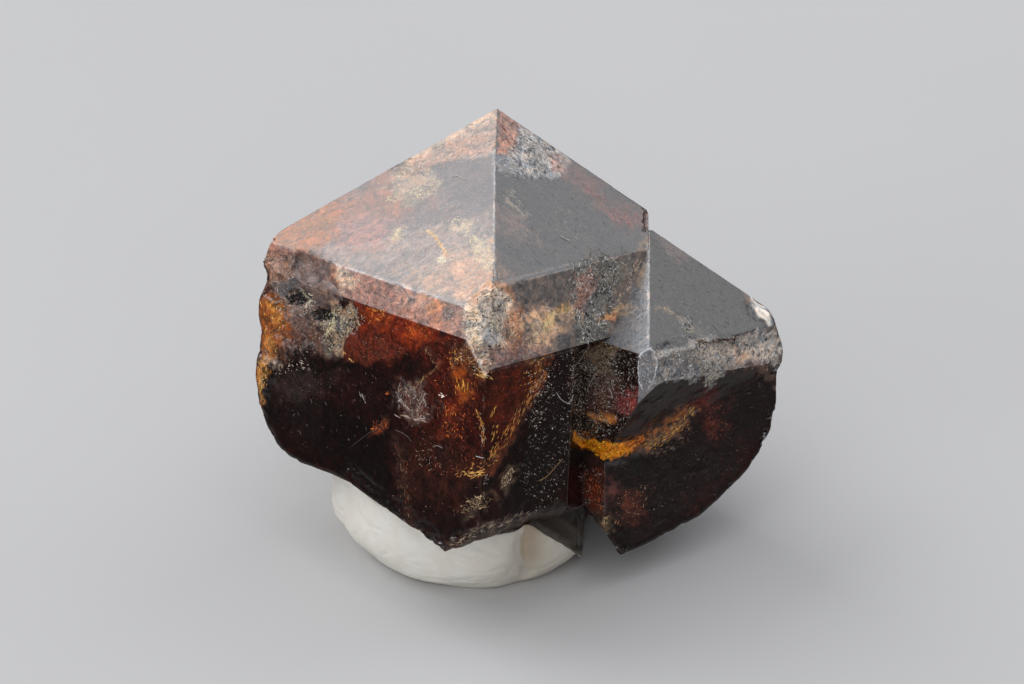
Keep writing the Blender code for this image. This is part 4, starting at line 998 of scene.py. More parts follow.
         look=((0.44, 0.25, 0.17), 0.2, 0.4, 0.4, 0.2, 0.0), soft=3, warp=2, strength=0.8, on={"NR"}),
]


def look_row(look):
    tint, clear, rough, grain, fleck, dark = look
    return [*tint, clear, rough, grain, fleck, dark]


look_table = np.array([look_row(FACE_LOOK.get(n, DEFAULT_LOOK)) for n in NAMES])
corner_vertex = triangles.ravel()
corner_name = np.repeat(tri_name, 3)
values = look_table[corner_name]

# The sides and back: the same kinds of veils, painted glows and crust, laid out by noise.
hidden = 1.0 - smooth((toward + 0.02) / 0.12)
veil = fbm(points, 0.32, 3, 21.0)
patch = fbm(points, 0.55, 4, 22.0)
crusty = fbm(points, 0.42, 4, 23.0)
is_upper = np.array([n in UPPER or n in {"NL", "NR", "NBL", "NBR"} for n in NAMES])[corner_name]
is_prism = np.array([n in {"MBL", "MBR", "NPBL", "NPBR", "NBK", "RIGHT", "BC", "SIDE", "LC", "LLC"} for n in NAMES])[corner_name]


def lay(weight, look):
    global values
    w = weight[:, None]
    values = values * (1 - w) + np.array(look_row(look)) * w


h = hidden[corner_vertex]
lay(h * is_upper * smooth((veil[corner_vertex] + 0.02) / 0.25), ((0.44, 0.27, 0.22), 0.27, 0.32, 0.45, 0.4, 0.0))
lay(h * is_upper * smooth((0.050 - np.abs(patch[corner_vertex])) / 0.05) * smooth((veil[corner_vertex] + 0.1) / 0.2) * 0.5,
    ((0.52, 0.42, 0.32), 0.12, 0.4, 0.5, 0.8, 0.1))
lay(h * is_upper * smooth((-veil[corner_vertex] - 0.22) / 0.2) * 0.8, ((0.17, 0.15, 0.155), 0.38, 0.26, 0.3, 0.1, 0.0))
lay(h * is_prism * smooth((veil[corner_vertex] - 0.02) / 0.2), ((0.34, 0.065, 0.018), 0.76, 0.12, 0.2, 0.1, 0.0))
lay(h * is_prism * smooth((0.07 - np.abs(patch[corner_vertex] - 0.05)) / 0.09) * smooth((veil[corner_vertex] + 0.05) / 0.25) * 0.8,
    ((0.52, 0.15, 0.03), 0.5, 0.18, 0.4, 0.4, 0.1))
lay(h * is_prism * smooth((0.05 - np.abs(crusty[corner_vertex] - 0.12)) / 0.08) * smooth((-veil[corner_vertex] + 0.02) / 0.25) * 0.6,
    ((0.22, 0.15, 0.105), 0.25, 0.5, 1.0, 0.7, 0.5))
lay(smooth((back_rough[corner_vertex] + 0.9 * patch[corner_vertex] - 0.30) / 0.22) * 0.85 * (back_rough[corner_vertex] > 0.01),
    ((0.15, 0.072, 0.045), 0.5, 0.33, 0.9, 0.6, 0.4))

for zone in ZONES:
    w = zone_weight(zone["at"], zone["soft"], zone.get("warp", 0.0), zone.get("width"))
    w = w * zone.get("strength", 1.0)
    weight = w[corner_vertex]
    if zone.get("on"):
        weight = weight * np.array([n in zone["on"] for n in NAMES])[corner_name]
    lay(weight, zone["look"])

# the shoulder's colours, with the painted orange glow of the left end, go on round the silhouette
AROUND_THE_LEFT = [(((250, 250), (300, 244), (306, 270), (298, 300), (250, 300)), ((0.40, 0.20, 0.13), 0.3, 0.4, 0.6, 0.3, 0.1)),
                   (((248, 296), (292, 298), (296, 360), (248, 372)), ((0.58, 0.17, 0.03), 0.45, 0.25, 0.4, 0.2, 0.0)),
                   (((248, 366), (284, 362), (284, 412), (248, 412)), ((0.66, 0.27, 0.06), 0.35, 0.3, 0.4, 0.2, 0.0))]
for outline, look in AROUND_THE_LEFT:
    d = polygon_depth(outline, pix_u + 4 * warp_a[:, 0], pix_v + 4 * warp_a[:, 1])
    w = smooth(d / 14.0 + 0.5) * smooth((0.10 - toward) / 0.12) * smooth((toward + 0.75) / 0.45)
    lay(w[corner_vertex], look)

# worn edges are paler, and the paler colour also paints the highlight a rounded edge catches
wear_and_highlight = edge_wear_and_highlight[corner_vertex] * np.clip(0.45 + 0.6 * nick[corner_vertex] + 0.4 * nick2[corner_vertex], 0, 1)
wear_and_highlight = wear_and_highlight * np.where(is_upper, 0.55, 0.22)
lay(wear_and_highlight, ((0.66, 0.60, 0.56), 0.05, 0.35, 0.4, 0.3, 0.0))
# painted highlights: bright lines along the main edges, where a rounded edge catches the light. Points, width, strength
EDGE_HIGHLIGHTS = [(((494.5, 150), (494.5, 286)), 1.5, 0.85), (((648, 229), (648, 346)), 1.7, 0.85),
                (((648, 346), (638, 352), (640, 384)), 1.4, 0.6), (((648, 346), (655, 356), (655, 384)), 1.4, 0.6),
                (((331, 263), (400, 285), (465, 306)), 2.2, 0.5), (((497, 284), (540, 272), (576, 263)), 2.0, 0.3),
                (((337, 293), (400, 315), (467, 338)), 1.4, 0.3), (((492, 371), (520, 364), (574, 350)), 1.4, 0.3),
                (((464, 158), (495, 153)), 1.4, 0.45)]
for line, wide, strength in EDGE_HIGHLIGHTS:
    w = zone_weight(line, 0.9, 0.6, wide)[corner_vertex] * strength
    w = w * np.clip(0.75 + 0.8 * nick[corner_vertex], 0.2, 1.0)
    lay(w, ((0.80, 0.74, 0.71), 0.03, 0.34, 0.4, 0.2, 0.0))
values = np.clip(values, 0.0, 1.0)

tint_layer = mesh.attributes.new("tint", "FLOAT_COLOR", "CORNER")
tint_layer.data.foreach_set("color", np.concatenate([values[:, :3], np.ones((len(values), 1))], 1).astype(np.float32).ravel())
surf_layer = mesh.attributes.new("surf", "FLOAT_COLOR", "CORNER")
surf_layer.data.foreach_set("color", np.concatenate([values[:, 3:6], np.ones((len(values), 1))], 1).astype(np.float32).ravel())
fleck_layer = mesh.attributes.new("fleck", "FLOAT_COLOR", "CORNER")
# how mottled the colour is, and how strongly it runs in streaks
SMOOTH_FACES = {"PL": 0.62, "PR": 0.6, "NL": 0.6, "NR": 0.42, "NF": 0.45, "PBL": 0.6, "PBR": 0.6, "NBL": 0.5, "NBR": 0.5}
mottle = np.array([SMOOTH_FACES.get(n, 0.9) for n in NAMES])[corner_name]
mottle = mottle + (1.0 - mottle) * np.clip(rough_mask[corner_vertex] * 1.2, 0, 1)
fleck_layer.data.foreach_set("color", np.concatenate([values[:, 6:8], mottle[:, None], np.ones((len(values), 1))], 1).astype(np.float32).ravel())


# ======================================================================================
# Materials
# ======================================================================================
class Graph:
    """Short names for building a material's nodes."""

    def __init__(self, name):
        self.material = bpy.data.materials.new(name)
        self.material.use_nodes = True
        self.tree = self.material.node_tree
        self.shader = self.tree.nodes["Principled BSDF"]
        self.output = self.tree.nodes["Material Output"]

    def set(self, socket, value):
        if isinstance(value, bpy.types.NodeSocket):
            self.tree.links.new(value, socket)
        else:
            socket.default_value = value

    def node(self, kind, out=0, settings=None, **inputs):
        n = self.tree.nodes.new(kind)
        for k, v in (settings or {}).items():
            setattr(n, k, v)
        for k, v in inputs.items():
            key = int(k[1:]) if k[0] == "i" and k[1:].isdigit() else k.replace("_", " ")
            self.set(n.inputs[key], v)
        return n.outputs[out]

    def math(self, op, a, b=0.0, c=0.0, clamp=False):
        return self.node("ShaderNodeMath", settings={"operation": op, "use_clamp": clamp}, i0=a, i1=b, i2=c)

    def vector(self, op, a, b=(0, 0, 0)):
        n = self.tree.nodes.new("ShaderNodeVectorMath")
        n.operation = op
        self.set(n.inputs[0], a)
        if op == "SCALE":
            self.set(n.inputs["Scale"], b)
        else:
            self.set(n.inputs[1], b)
        return n.outputs[0]

    def noise(self, at, scale, detail=4.0, rough=0.55, distort=0.0, out=0):
        return self.node("ShaderNodeTexNoise", out, Vector=at, Scale=scale, Detail=detail,
                         Roughness=rough, Distortion=distort)

    def ramp(self, value, low, high, smooth_step=True, to=(0.0, 1.0)):
        return self.node("ShaderNodeMapRange",
                         settings={"interpolation_type": "SMOOTHSTEP" if smooth_step else "LINEAR"},
                         Value=value, From_Min=low, From_Max=high, To_Min=to[0], To_Max=to[1])

    def mix(self, factor, a, b, blend="MIX"):
        n = self.tree.nodes.new("ShaderNodeMix")
        n.data_type, n.blend_type = "RGBA", blend
        for i, v in ((0, factor), (6, a), (7, b)):
            if not isinstance(v, bpy.types.NodeSocket) and i and len(v) == 3:
                v = (*v, 1.0)
            self.set(n.inputs[i], v)
        return n.outputs[2]

    def attribute(self, name, out=0):
        return self.node("ShaderNodeAttribute", out, settings={"attribute_name": name})

    def split(self, colour):
        n = self.tree.nodes.new("ShaderNodeSeparateColor")
        self.set(n.inputs[0], colour)
        return n.outputs[0], n.outputs[1], n.outputs[2]


def zircon_material():
    g = Graph("zircon")
    at = g.vector("SCALE", g.node("ShaderNodeTexCoord", 3), 1000.0)       # millimetres
    tint = g.attribute("tint")
    clear, rough, grain = g.split(g.attribute("surf"))
    fleck, dark, mottle = g.split(g.attribute("fleck"))
    broad = g.noise(at, 0.8, 3.0, 0.6, 0.8)
    mid = g.noise(at, 3.0, 3.0, 0.58, 1.3)
    fine = g.noise(at, 11.0, 3.0, 0.6)
    dust = g.noise(at, 34.0, 2.0, 0.6)
    # wisps: clouds drawn out and folded
    bend = g.node("ShaderNodeTexNoise", 1, Vector=at, Scale=0.55, Detail=2.0)
    folded = g.vector("ADD", at, g.vector("SCALE", bend, 3.4))
    wisp_at = g.node("ShaderNodeMapping", Vector=folded, Rotation=(0.3, 0.4, 0.5), Scale=(0.7, 2.2, 1.5))
    wisp = g.noise(wisp_at, 1.25, 3.5, 0.56, 0.7)
    thread = g.math("SUBTRACT", 1.0, g.math("MULTIPLY", g.math("ABSOLUTE", g.math("SUBTRACT", wisp, 0.5)), 2.0))
    # streaks down the faces
    streak_at = g.node("ShaderNodeMapping", Vector=at, Rotation=(0.5, 0.9, 0.4), Scale=(1.0, 6.0, 2.2))
    streak = g.noise(streak_at, 1.3, 5.0, 0.6, 1.2)
    streak_part = g.math("MULTIPLY", g.math("SUBTRACT", streak, 0.5), g.math("SUBTRACT", g.math("MULTIPLY", mottle, 1.6), 0.45))
    mid_part = g.math("MULTIPLY", g.math("MULTIPLY", g.math("SUBTRACT", mid, 0.5), 2.1), mottle)
    fine_part = g.math("MULTIPLY", g.math("MULTIPLY", g.math("SUBTRACT", fine, 0.5), 0.6), g.math("MULTIPLY", mottle, mottle))
    wisp_part = g.math("MULTIPLY", g.math("MULTIPLY", g.math("SUBTRACT", wisp, 0.5), 2.9), g.math("ADD", g.math("MULTIPLY", mottle, 0.5), 0.4))
    gain = g.math("ADD", g.math("ADD", 1.0, streak_part), g.math("ADD", g.math("ADD", mid_part, wisp_part), fine_part))
    gain = g.math("MAXIMUM", gain, 0.15)
    colour = g.vector("SCALE", tint, gain)
    # warm and cool drift
    warm = g.mix(g.ramp(wisp, 0.36, 0.64), (0.87, 0.97, 1.10), (1.13, 0.99, 0.88))
    colour = g.mix(1.0, colour, warm, "MULTIPLY")
    # hairline cracks under the surface, pale ones and dark ones
    web = g.noise(at, 1.05, 4.0, 0.55, 1.4)
    ridge = g.math("SUBTRACT", 1.0, g.math("MULTIPLY", g.math("ABSOLUTE", g.math("SUBTRACT", web, 0.5)), 2.0))
    web2 = g.noise(g.vector("ADD", at, (7.3, 2.1, 4.4)), 2.1, 4.0, 0.6, 1.8)
    ridge2 = g.math("SUBTRACT", 1.0, g.math("MULTIPLY", g.math("ABSOLUTE", g.math("SUBTRACT", web2, 0.5)), 2.0))
    patchy = g.ramp(g.noise(g.vector("ADD", at, (1.3, 9.1, 2.4)), 0.9, 2.0, 0.5), 0.46, 0.60)
    dark_crack = g.math("MULTIPLY", g.math("MULTIPLY", g.ramp(ridge, 0.970, 0.994), patchy), 0.42)
    colour = g.mix(dark_crack, colour, g.vector("SCALE", colour, 0.30))
    pale_crack = g.math("MULTIPLY", g.math("MULTIPLY", g.ramp(ridge2, 0.90, 0.985), g.ramp(mid, 0.44, 0.60)), fleck, clamp=True)
    pale = g.vector("ADD", g.vector("SCALE", colour, 1.35), (0.13, 0.10, 0.07))
    colour = g.mix(pale_crack, colour, pale)
    pale_thread = g.math("MULTIPLY", g.math("MULTIPLY", g.ramp(thread, 0.955, 0.995), g.ramp(streak, 0.44, 0.58)), fleck, clamp=True)
    colour = g.mix(pale_thread, colour, g.vector("ADD", g.vector("SCALE", colour, 1.4), (0.16, 0.13, 0.09)))
    # pale flecks
    fleck_at = g.node("ShaderNodeMapping", Vector=at, Rotation=(0.2, 0.5, 0.9), Scale=(1.0, 2.6, 1.5))
    fleck_noise = g.noise(fleck_at, 6.0, 6.0, 0.70, 1.3)
    fleck_mask = g.math("MULTIPLY", g.ramp(fleck_noise, 0.58, 0.68), fleck, clamp=True)
    fleck_colour = g.mix(g.ramp(broad, 0.4, 0.6), (0.74, 0.60, 0.46), (0.66, 0.48, 0.32))
    colour = g.mix(g.math("MULTIPLY", fleck_mask, 0.8), colour, fleck_colour)
    # dark spots in the crust: painted shade of small pits, and dark grains
    pit_noise = g.noise(at, 8.5, 5.0, 0.7, 0.8)
    pit_mask = g.math("MULTIPLY", g.ramp(pit_noise, 0.49, 0.60), dark, clamp=True)
    colour = g.mix(pit_mask, colour, (0.020, 0.017, 0.014))
    g.set(g.shader.inputs["Base Color"], colour)
    solid = g.math("MAXIMUM", fleck_mask, g.math("MULTIPLY", pit_mask, 0.8))
    passing = g.math("MULTIPLY", clear, g.math("SUBTRACT", 1.0, g.math("MULTIPLY", solid, 0.8)))
    haze = g.math("MULTIPLY", g.math("MULTIPLY", g.math("SUBTRACT", mid, 0.5), 0.35), mottle)
    g.set(g.shader.inputs["Transmission Weight"], g.math("SUBTRACT", passing, haze, clamp=True))
    roughness = g.math("ADD", rough, g.math("MULTIPLY", g.math("SUBTRACT", fine, 0.5), 0.22))
    roughness = g.math("ADD", roughness, g.math("MULTIPLY", g.math("SUBTRACT", mid, 0.5), 0.22))
    g.set(g.shader.inputs["Roughness"], g.math("MAXIMUM", roughness, 0.03))
    height = g.math("ADD", g.math("MULTIPLY", fine, g.math("MULTIPLY", grain, 0.6)), g.math("MULTIPLY", g.math("MULTIPLY", mid, grain), 1.6))
    height = g.math("ADD", height, g.math("MULTIPLY", dust, g.math("MULTIPLY", grain, 0.15)))
    height = g.math("ADD", height, g.math("MULTIPLY", broad, 0.5))
    bump = g.node("ShaderNodeBump", Height=height, Strength=0.8, Distance=0.00005)
    g.set(g.shader.inputs["Normal"], bump)
    g.shader.inputs["IOR"].default_value = 1.95
    g.shader.inputs["Metallic"].default_value = 0.0
    absorb = g.tree.nodes.new("ShaderNodeVolumeAbsorption")
    absorb.inputs["Color"].default_value = (0.91, 0.58, 0.05, 1.0)
    absorb.inputs["Density"].default_value = 1000.0
    g.tree.links.new(absorb.outputs[0], g.output.inputs["Volume"])
    return g.material


mesh.materials.append(zircon_material())
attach(body, "root")
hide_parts("zircon_crystal")

# ======================================================================================
# Small things on and just under the surface: bright flakes in the fractures, dust, lint
# ======================================================================================
skin = BVHTree.FromPolygons([Vector(p) for p in surface], triangles.tolist())


def surface_at(u, v):
    """Where the line of sight through a point of the picture meets the crystal."""
    start, way = pixel_ray(u, v)
    return skin.ray_cast(start, way)


class Scatter:
    """Collects many small closed shapes, each with its own colour, in one mesh."""

    def __init__(self, name):
        self.name, self.verts, self.faces, self.colours = name, [], [], []

    def lens(self, centre, along, across, normal, length, width, lift, colour, rng, sides=5):
        """A thin splinter: raised in the middle, its rim just under the surface."""
        first = len(self.verts)
        rim = []
        for k in range(sides):
            a = 2 * math.pi * (k + rng.uniform(-0.22, 0.22)) / sides
            reach = rng.uniform(0.72, 1.15)
            rim.append(centre + along * (math.cos(a) * length / 2 * reach)
                       + across * (math.sin(a) * width / 2 * reach) - normal * 0.006)
        self.verts += [centre + normal * lift, centre - normal * (lift * 0.6 + 0.012)] + rim
        for k in range(sides):
            i, j = first + 2 + k, first + 2 + (k + 1) % sides
            self.faces += [(first, i, j), (first + 1, j, i)]
            self.colours += [colour, colour]

    def grain(self, centre, size, colour, rng):
        """A speck: an uneven little octahedron."""
        first = len(self.verts)
        for axis in ((1, 0, 0), (-1, 0, 0), (0, 1, 0), (0, -1, 0), (0, 0, 1), (0, 0, -1)):
            self.verts.append(centre + Vector(axis) * size * rng.uniform(0.12, 0.72)
                              + Vector([rng.uniform(-0.12, 0.12) * size for _ in range(3)]))
        for a, b, c in ((0, 2, 4), (2, 1, 4), (1, 3, 4), (3, 0, 4), (2, 0, 5), (1, 2, 5), (3, 1, 5), (0, 3, 5)):
            self.faces.append((first + a, first + b, first + c))
            self.colours.append(colour)

    def tube(self, path, radius, colour, sides=6):
        """A fibre along a path of points."""
        first = len(self.verts)
        n = len(path)
        up = Vector((0.3, 0.2, 1.0)).normalized()
        for k, p in enumerate(path):
            way = (path[min(k + 1, n - 1)] - path[max(k - 1, 0)]).normalized()
            side = way.cross(up).normalized()
            top = side.cross(way).normalized()
            r = radius * (0.45 if k in (0, n - 1) else 1.0)
            for s in range(sides):
                a = 2 * math.pi * s / sides
                self.verts.append(p + side * math.cos(a) * r + top * math.sin(a) * r)
        for k in range(n - 1):
            for s in range(sides):
                a, b = first + k * sides + s, first + k * sides + (s + 1) % sides
                self.faces.append((a, a + sides, b + sides, b))
                self.colours.append(colour)
        self.faces.append(tuple(first + s for s in range(sides)))
        self.faces.append(tuple(first + (n - 1) * sides + s for s in reversed(range(sides))))
        self.colours += [colour, colour]

    def make(self, material):
        mesh = bpy.data.meshes.new(self.name)
        mesh.from_pydata([(v * MM)[:] for v in self.verts], [], self.faces)
        mesh.validate()
        bm = bmesh.new()
        bm.from_mesh(mesh)
        bmesh.ops.recalc_face_normals(bm, faces=bm.faces[:])
        bm.to_mesh(mesh)
        bm.free()
        layer = mesh.attributes.new("tint", "FLOAT_COLOR", "FACE")
        layer.data.foreach_set("color", np.array([(*c, 1.0) for c in self.colours], np.float32).ravel())
        obj = bpy.data.objects.new(self.name, mesh)
        bpy.context.scene.collection.objects.link(obj)
        mesh.materials.append(material)
        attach(obj, "root")
        print(self.name, len(self.faces), "faces")
        return obj


def point_in(corners, rng):
    xs, ys = [c[0] for c in corners], [c[1] for c in corners]
    for _ in range(200):
        u, v = rng.uniform(min(xs), max(xs)), rng.uniform(min(ys), max(ys))
        inside = False
        for i in range(len(corners)):
            (ax, ay), (bx, by) = corners[i], corners[(i + 1) % len(corners)]
            if (ay > v) != (by > v) and u < (bx - ax) * (v - ay) / (by - ay) + ax:
                inside = not inside
        if inside:
            return u, v
    return corners[0]


def point_on(line, spread, rng):
    lengths = [math.hypot(b[0] - a[0], b[1] - a[1]) for a, b in zip(line, line[1:])]
    t = rng.uniform(0, sum(lengths))
    for (a, b), length in zip(zip(line, line[1:]), lengths):
        if t <= length or b == line[-1]:
            f = min(t / length, 1.0)
            dx, dy = (b[0] - a[0]) / length, (b[1] - a[1]) / length
            off = rng.gauss(0, spread / 2)
            return a[0] + dx * f * length - dy * off, a[1] + dy * f * length + dx * off, math.degrees(math.atan2(-dy, dx))
        t -= length


def splinters(scatter, count, length, width, colours, seed, at=None, line=None, spread=3.0, angle=0.0,
              turn=30.0, lift=(0.004, 0.016), clump=0.0):
    """Lays splinters in an outline or along a line. Sizes in pixels, angle anticlockwise from right."""
    rng = random.Random(seed)
    nests = [point_in(at, rng) for _ in range(max(3, count // 9))] if at and clump else None
    for _ in range(count):
        if line:
            u, v, heading = point_on(line, spread, rng)
            heading += angle + rng.gauss(0, turn)
        else:
            u, v = point_in(at, rng)
            if nests and rng.random() < clump:
                u0, v0 = rng.choice(nests)
                u, v = u0 + rng.gauss(0, 3.0), v0 + rng.gauss(0, 3.0)
            heading = angle + rng.gauss(0, turn)
        hit, normal, _, _ = surface_at(u, v)
        if hit is None:
            continue
        a = math.radians(heading)
        way = Vector(CAM_RIGHT) * math.cos(a) + Vector(CAM_UP) * math.sin(a)
        along = way - normal * way.dot(normal)
        if along.length < 0.12:
            continue
        # keep the length seen, though the face is foreshortened
        size = rng.uniform(*length) * (0.55 + 0.9 * rng.random() ** 2)
        stretch = min(1.0 / along.length, 1.9)
        along.normalize()
        across = normal.cross(along)
        tone = rng.choice(colours)
        gain = rng.uniform(0.7, 1.25)
        scatter.lens(hit, along, across, normal, size * stretch / PX_PER_MM, rng.uniform(*width) / PX_PER_MM,
                     rng.uniform(*lift), tuple(min(c * gain, 1.0) for c in tone), rng)


CREAM, PALE, GREY = (0.74, 0.60, 0.42), (0.70, 0.64, 0.56), (0.42, 0.41, 0.39)
GOLD, AMBER, ORANGE = (0.86, 0.46, 0.10), (0.90, 0.34, 0.04), (0.82, 0.19, 0.015)
RUST, RED, DEEP = (0.46, 0.10, 0.022), (0.36, 0.045, 0.010), (0.16, 0.022, 0.007)
PINK, BROWN, BLACK = (0.62, 0.32, 0.25), (0.20, 0.10, 0.055), (0.012, 0.010, 0.009)

flakes = Scatter("bright_flakes")
# cream and golden flakes just under the upper left face
splinters(flakes, 150, (3, 8), (0.9, 2.0), ((0.80, 0.68, 0.48), CREAM, (0.74, 0.66, 0.50)), 1, line=((386, 200), (404, 196), (424, 196), (442, 184)), spread=5, turn=25)
splinters(flakes, 200, (3, 9), (0.9, 2.1), ((0.80, 0.70, 0.50), CREAM, PALE), 2, at=((388, 172), (408, 164), (432, 170), (442, 182), (424, 198), (398, 202)), angle=12, turn=25, clump=0.6)
splinters(flakes, 60, (3, 9), (1.0, 2.2), ((0.84, 0.72, 0.50), (0.86, 0.70, 0.44)), 3, at=((392, 240), (396, 229), (409, 226), (403, 238)), angle=40, turn=18)
splinters(flakes, 120, (2, 6), (0.9, 1.9), ((0.86, 0.76, 0.56), (0.84, 0.72, 0.50)), 4, at=((447, 228), (452, 219), (466, 219), (476, 228), (470, 236)), angle=-35, turn=35, clump=0.5)
splinters(flakes, 190, (3, 8), (0.9, 2.1), ((0.86, 0.76, 0.56), (0.84, 0.68, 0.46)), 5, at=((468, 236), (480, 236), (494, 256), (490, 270), (476, 260)), angle=-40, turn=30, clump=0.5)
splinters(flakes, 90, (3, 7), (0.9, 1.9), ((0.92, 0.66, 0.38), (0.90, 0.54, 0.28)), 6, line=((427, 231), (433, 234), (440, 244), (447, 255)), spread=1.6, turn=14)
splinters(flakes, 20, (4, 7), (2.0, 3.4), ((0.94, 0.84, 0.62),), 7, at=((437, 262), (438, 258), (444, 257), (446, 262)), turn=40)
splinters(flakes, 30, (3, 9), (0.6, 1.1), (PALE, CREAM), 8, line=((384, 241), (400, 237), (420, 230), (441, 226)), spread=2.0, turn=10)
splinters(flakes, 190, (2, 8), (0.6, 1.3), ((0.82, 0.74, 0.64), CREAM, PINK, (0.86, 0.58, 0.40)), 9, at=((330, 255), (440, 240), (492, 262), (492, 290), (463, 302), (400, 284)), angle=-20, turn=35, clump=0.5)
splinters(flakes, 110, (2, 7), (0.6, 1.4), ((0.92, 0.56, 0.30), (0.90, 0.44, 0.20), CREAM), 10, at=((455, 296), (474, 268), (496, 262), (500, 288), (474, 304)), angle=30, turn=40, clump=0.5)
splinters(flakes, 150, (2, 6), (0.5, 1.1), (PALE, PINK, CREAM, (0.50, 0.30, 0.24)), 11, at=((268, 250), (275, 232), (380, 172), (392, 176), (388, 240), (330, 252)), angle=28, turn=40, clump=0.5)
splinters(flakes, 190, (3, 10), (0.6, 1.3), ((0.86, 0.66, 0.50), (0.50, 0.20, 0.13), (0.90, 0.78, 0.62)), 12, at=((408, 160), (496, 110), (495, 150), (430, 162)), angle=28, turn=20)
splinters(flakes, 150, (1.5, 4), (0.6, 1.4), (PALE, GREY, BLACK, BROWN, CREAM), 13, at=((380, 174), (384, 164), (412, 156), (420, 162), (404, 172)), angle=25, turn=50, clump=0.5)
# streaks, ropes and chips of the upper right face
splinters(flakes, 330, (3, 10), (0.7, 1.6), ((0.72, 0.72, 0.72), (0.60, 0.60, 0.60), BLACK, BLACK, (0.26, 0.25, 0.24)), 14, at=((500, 160), (522, 128), (545, 140), (566, 160), (552, 176), (512, 178)), angle=-48, turn=22, clump=0.4)
splinters(flakes, 40, (3, 9), (0.6, 1.3), ((0.70, 0.36, 0.28), (0.56, 0.22, 0.16)), 15, at=((546, 150), (560, 156), (566, 172), (552, 172)), angle=-60, turn=16)
splinters(flakes, 60, (4, 11), (0.5, 1.1), (PALE, (0.52, 0.46, 0.42), (0.44, 0.30, 0.26)), 16, at=((498, 192), (510, 188), (532, 216), (545, 242), (520, 236), (498, 212)), angle=-50, turn=14)
splinters(flakes, 26, (4, 9), (0.5, 1.0), (PALE, GREY), 17, at=((556, 206), (582, 212), (578, 244), (556, 240)), angle=-50, turn=16)
splinters(flakes, 70, (1.5, 5), (0.5, 1.1), (CREAM, PINK, PALE, (0.56, 0.34, 0.22)), 18, at=((496, 242), (506, 250), (518, 276), (514, 290), (498, 284)), angle=-60, turn=35)
splinters(flakes, 44, (3, 9), (0.5, 1.2), ((0.44, 0.16, 0.12), (0.34, 0.12, 0.10)), 19, at=((570, 172), (600, 188), (640, 218), (632, 228), (600, 204)), angle=-35, turn=15)
splinters(flakes, 120, (4, 12), (0.6, 1.3), ((0.66, 0.40, 0.30), (0.36, 0.13, 0.09), (0.76, 0.50, 0.38), (0.22, 0.08, 0.06)), 119, at=((499, 108), (520, 122), (516, 144), (506, 160), (499, 158)), angle=-62, turn=16)
splinters(flakes, 170, (4, 13), (0.5, 1.0), ((0.16, 0.16, 0.17), (0.30, 0.31, 0.33), (0.22, 0.22, 0.24), (0.13, 0.12, 0.12)), 120, at=((500, 180), (560, 182), (600, 205), (640, 230), (610, 252), (560, 262), (500, 280)), angle=-48, turn=14)
splinters(flakes, 36, (3, 8), (0.7, 1.4), ((0.90, 0.82, 0.70), (0.80, 0.62, 0.44)), 121, at=((508, 190), (514, 190), (532, 216), (526, 220), (512, 204)), angle=-50, turn=14)
# crust on the front chip, and the orange crescent over it
splinters(flakes, 420, (1.2, 4.5), (0.8, 2.0), ((0.86, 0.74, 0.52), CREAM, PALE, GREY, BLACK, BLACK, (0.50, 0.34, 0.22), (0.80, 0.66, 0.44)), 20, at=((466, 320), (474, 302), (486, 290), (502, 290), (514, 304), (514, 330), (502, 350), (488, 368), (474, 350)), turn=90, lift=(0.01, 0.05), clump=0.4)
splinters(flakes, 50, (3, 7), (0.7, 1.4), ((0.90, 0.42, 0.18), (0.80, 0.50, 0.30)), 21, line=((470, 302), (480, 290), (497, 284), (508, 292), (515, 306)), spread=4, turn=14)
splinters(flakes, 20, (2, 5), (0.8, 1.8), ((0.90, 0.62, 0.26), GOLD), 22, at=((470, 338), (478, 336), (486, 352), (486, 364), (476, 352)), turn=50)
# golden flakes in the steep right face
splinters(flakes, 110, (2, 7), (0.7, 1.8), ((0.92, 0.62, 0.32), (0.80, 0.42, 0.18), CREAM, (0.30, 0.16, 0.10)), 23, at=((504, 340), (510, 316), (524, 310), (526, 330), (512, 346)), angle=55, turn=30, clump=0.4)
splinters(flakes, 120, (2, 6), (0.7, 1.8), ((0.92, 0.72, 0.44), (0.86, 0.54, 0.26), CREAM, (0.30, 0.17, 0.11)), 24, at=((526, 350), (526, 332), (546, 326), (548, 344)), angle=-30, turn=45, clump=0.4)
splinters(flakes, 44, (4, 9), (1.2, 2.6), ((0.98, 0.78, 0.42), (0.94, 0.68, 0.32)), 25, at=((543, 328), (547, 316), (556, 311), (554, 322)), angle=60, turn=14)
splinters(flakes, 30, (3, 8), (0.7, 1.4), ((0.90, 0.60, 0.30), CREAM), 26, line=((530, 328), (542, 320), (556, 313), (574, 314)), spread=2, turn=14)
splinters(flakes, 330, (1.2, 5), (0.5, 1.2), (GREY, (0.20, 0.19, 0.18), BLACK, (0.30, 0.30, 0.29)), 27, at=((512, 284), (574, 268), (578, 300), (524, 318)), angle=20, turn=60)
splinters(flakes, 70, (2, 6), (0.6, 1.3), (PINK, PALE, (0.70, 0.30, 0.20)), 28, at=((490, 352), (520, 344), (545, 340), (545, 350), (515, 360), (490, 370)), angle=15, turn=25)
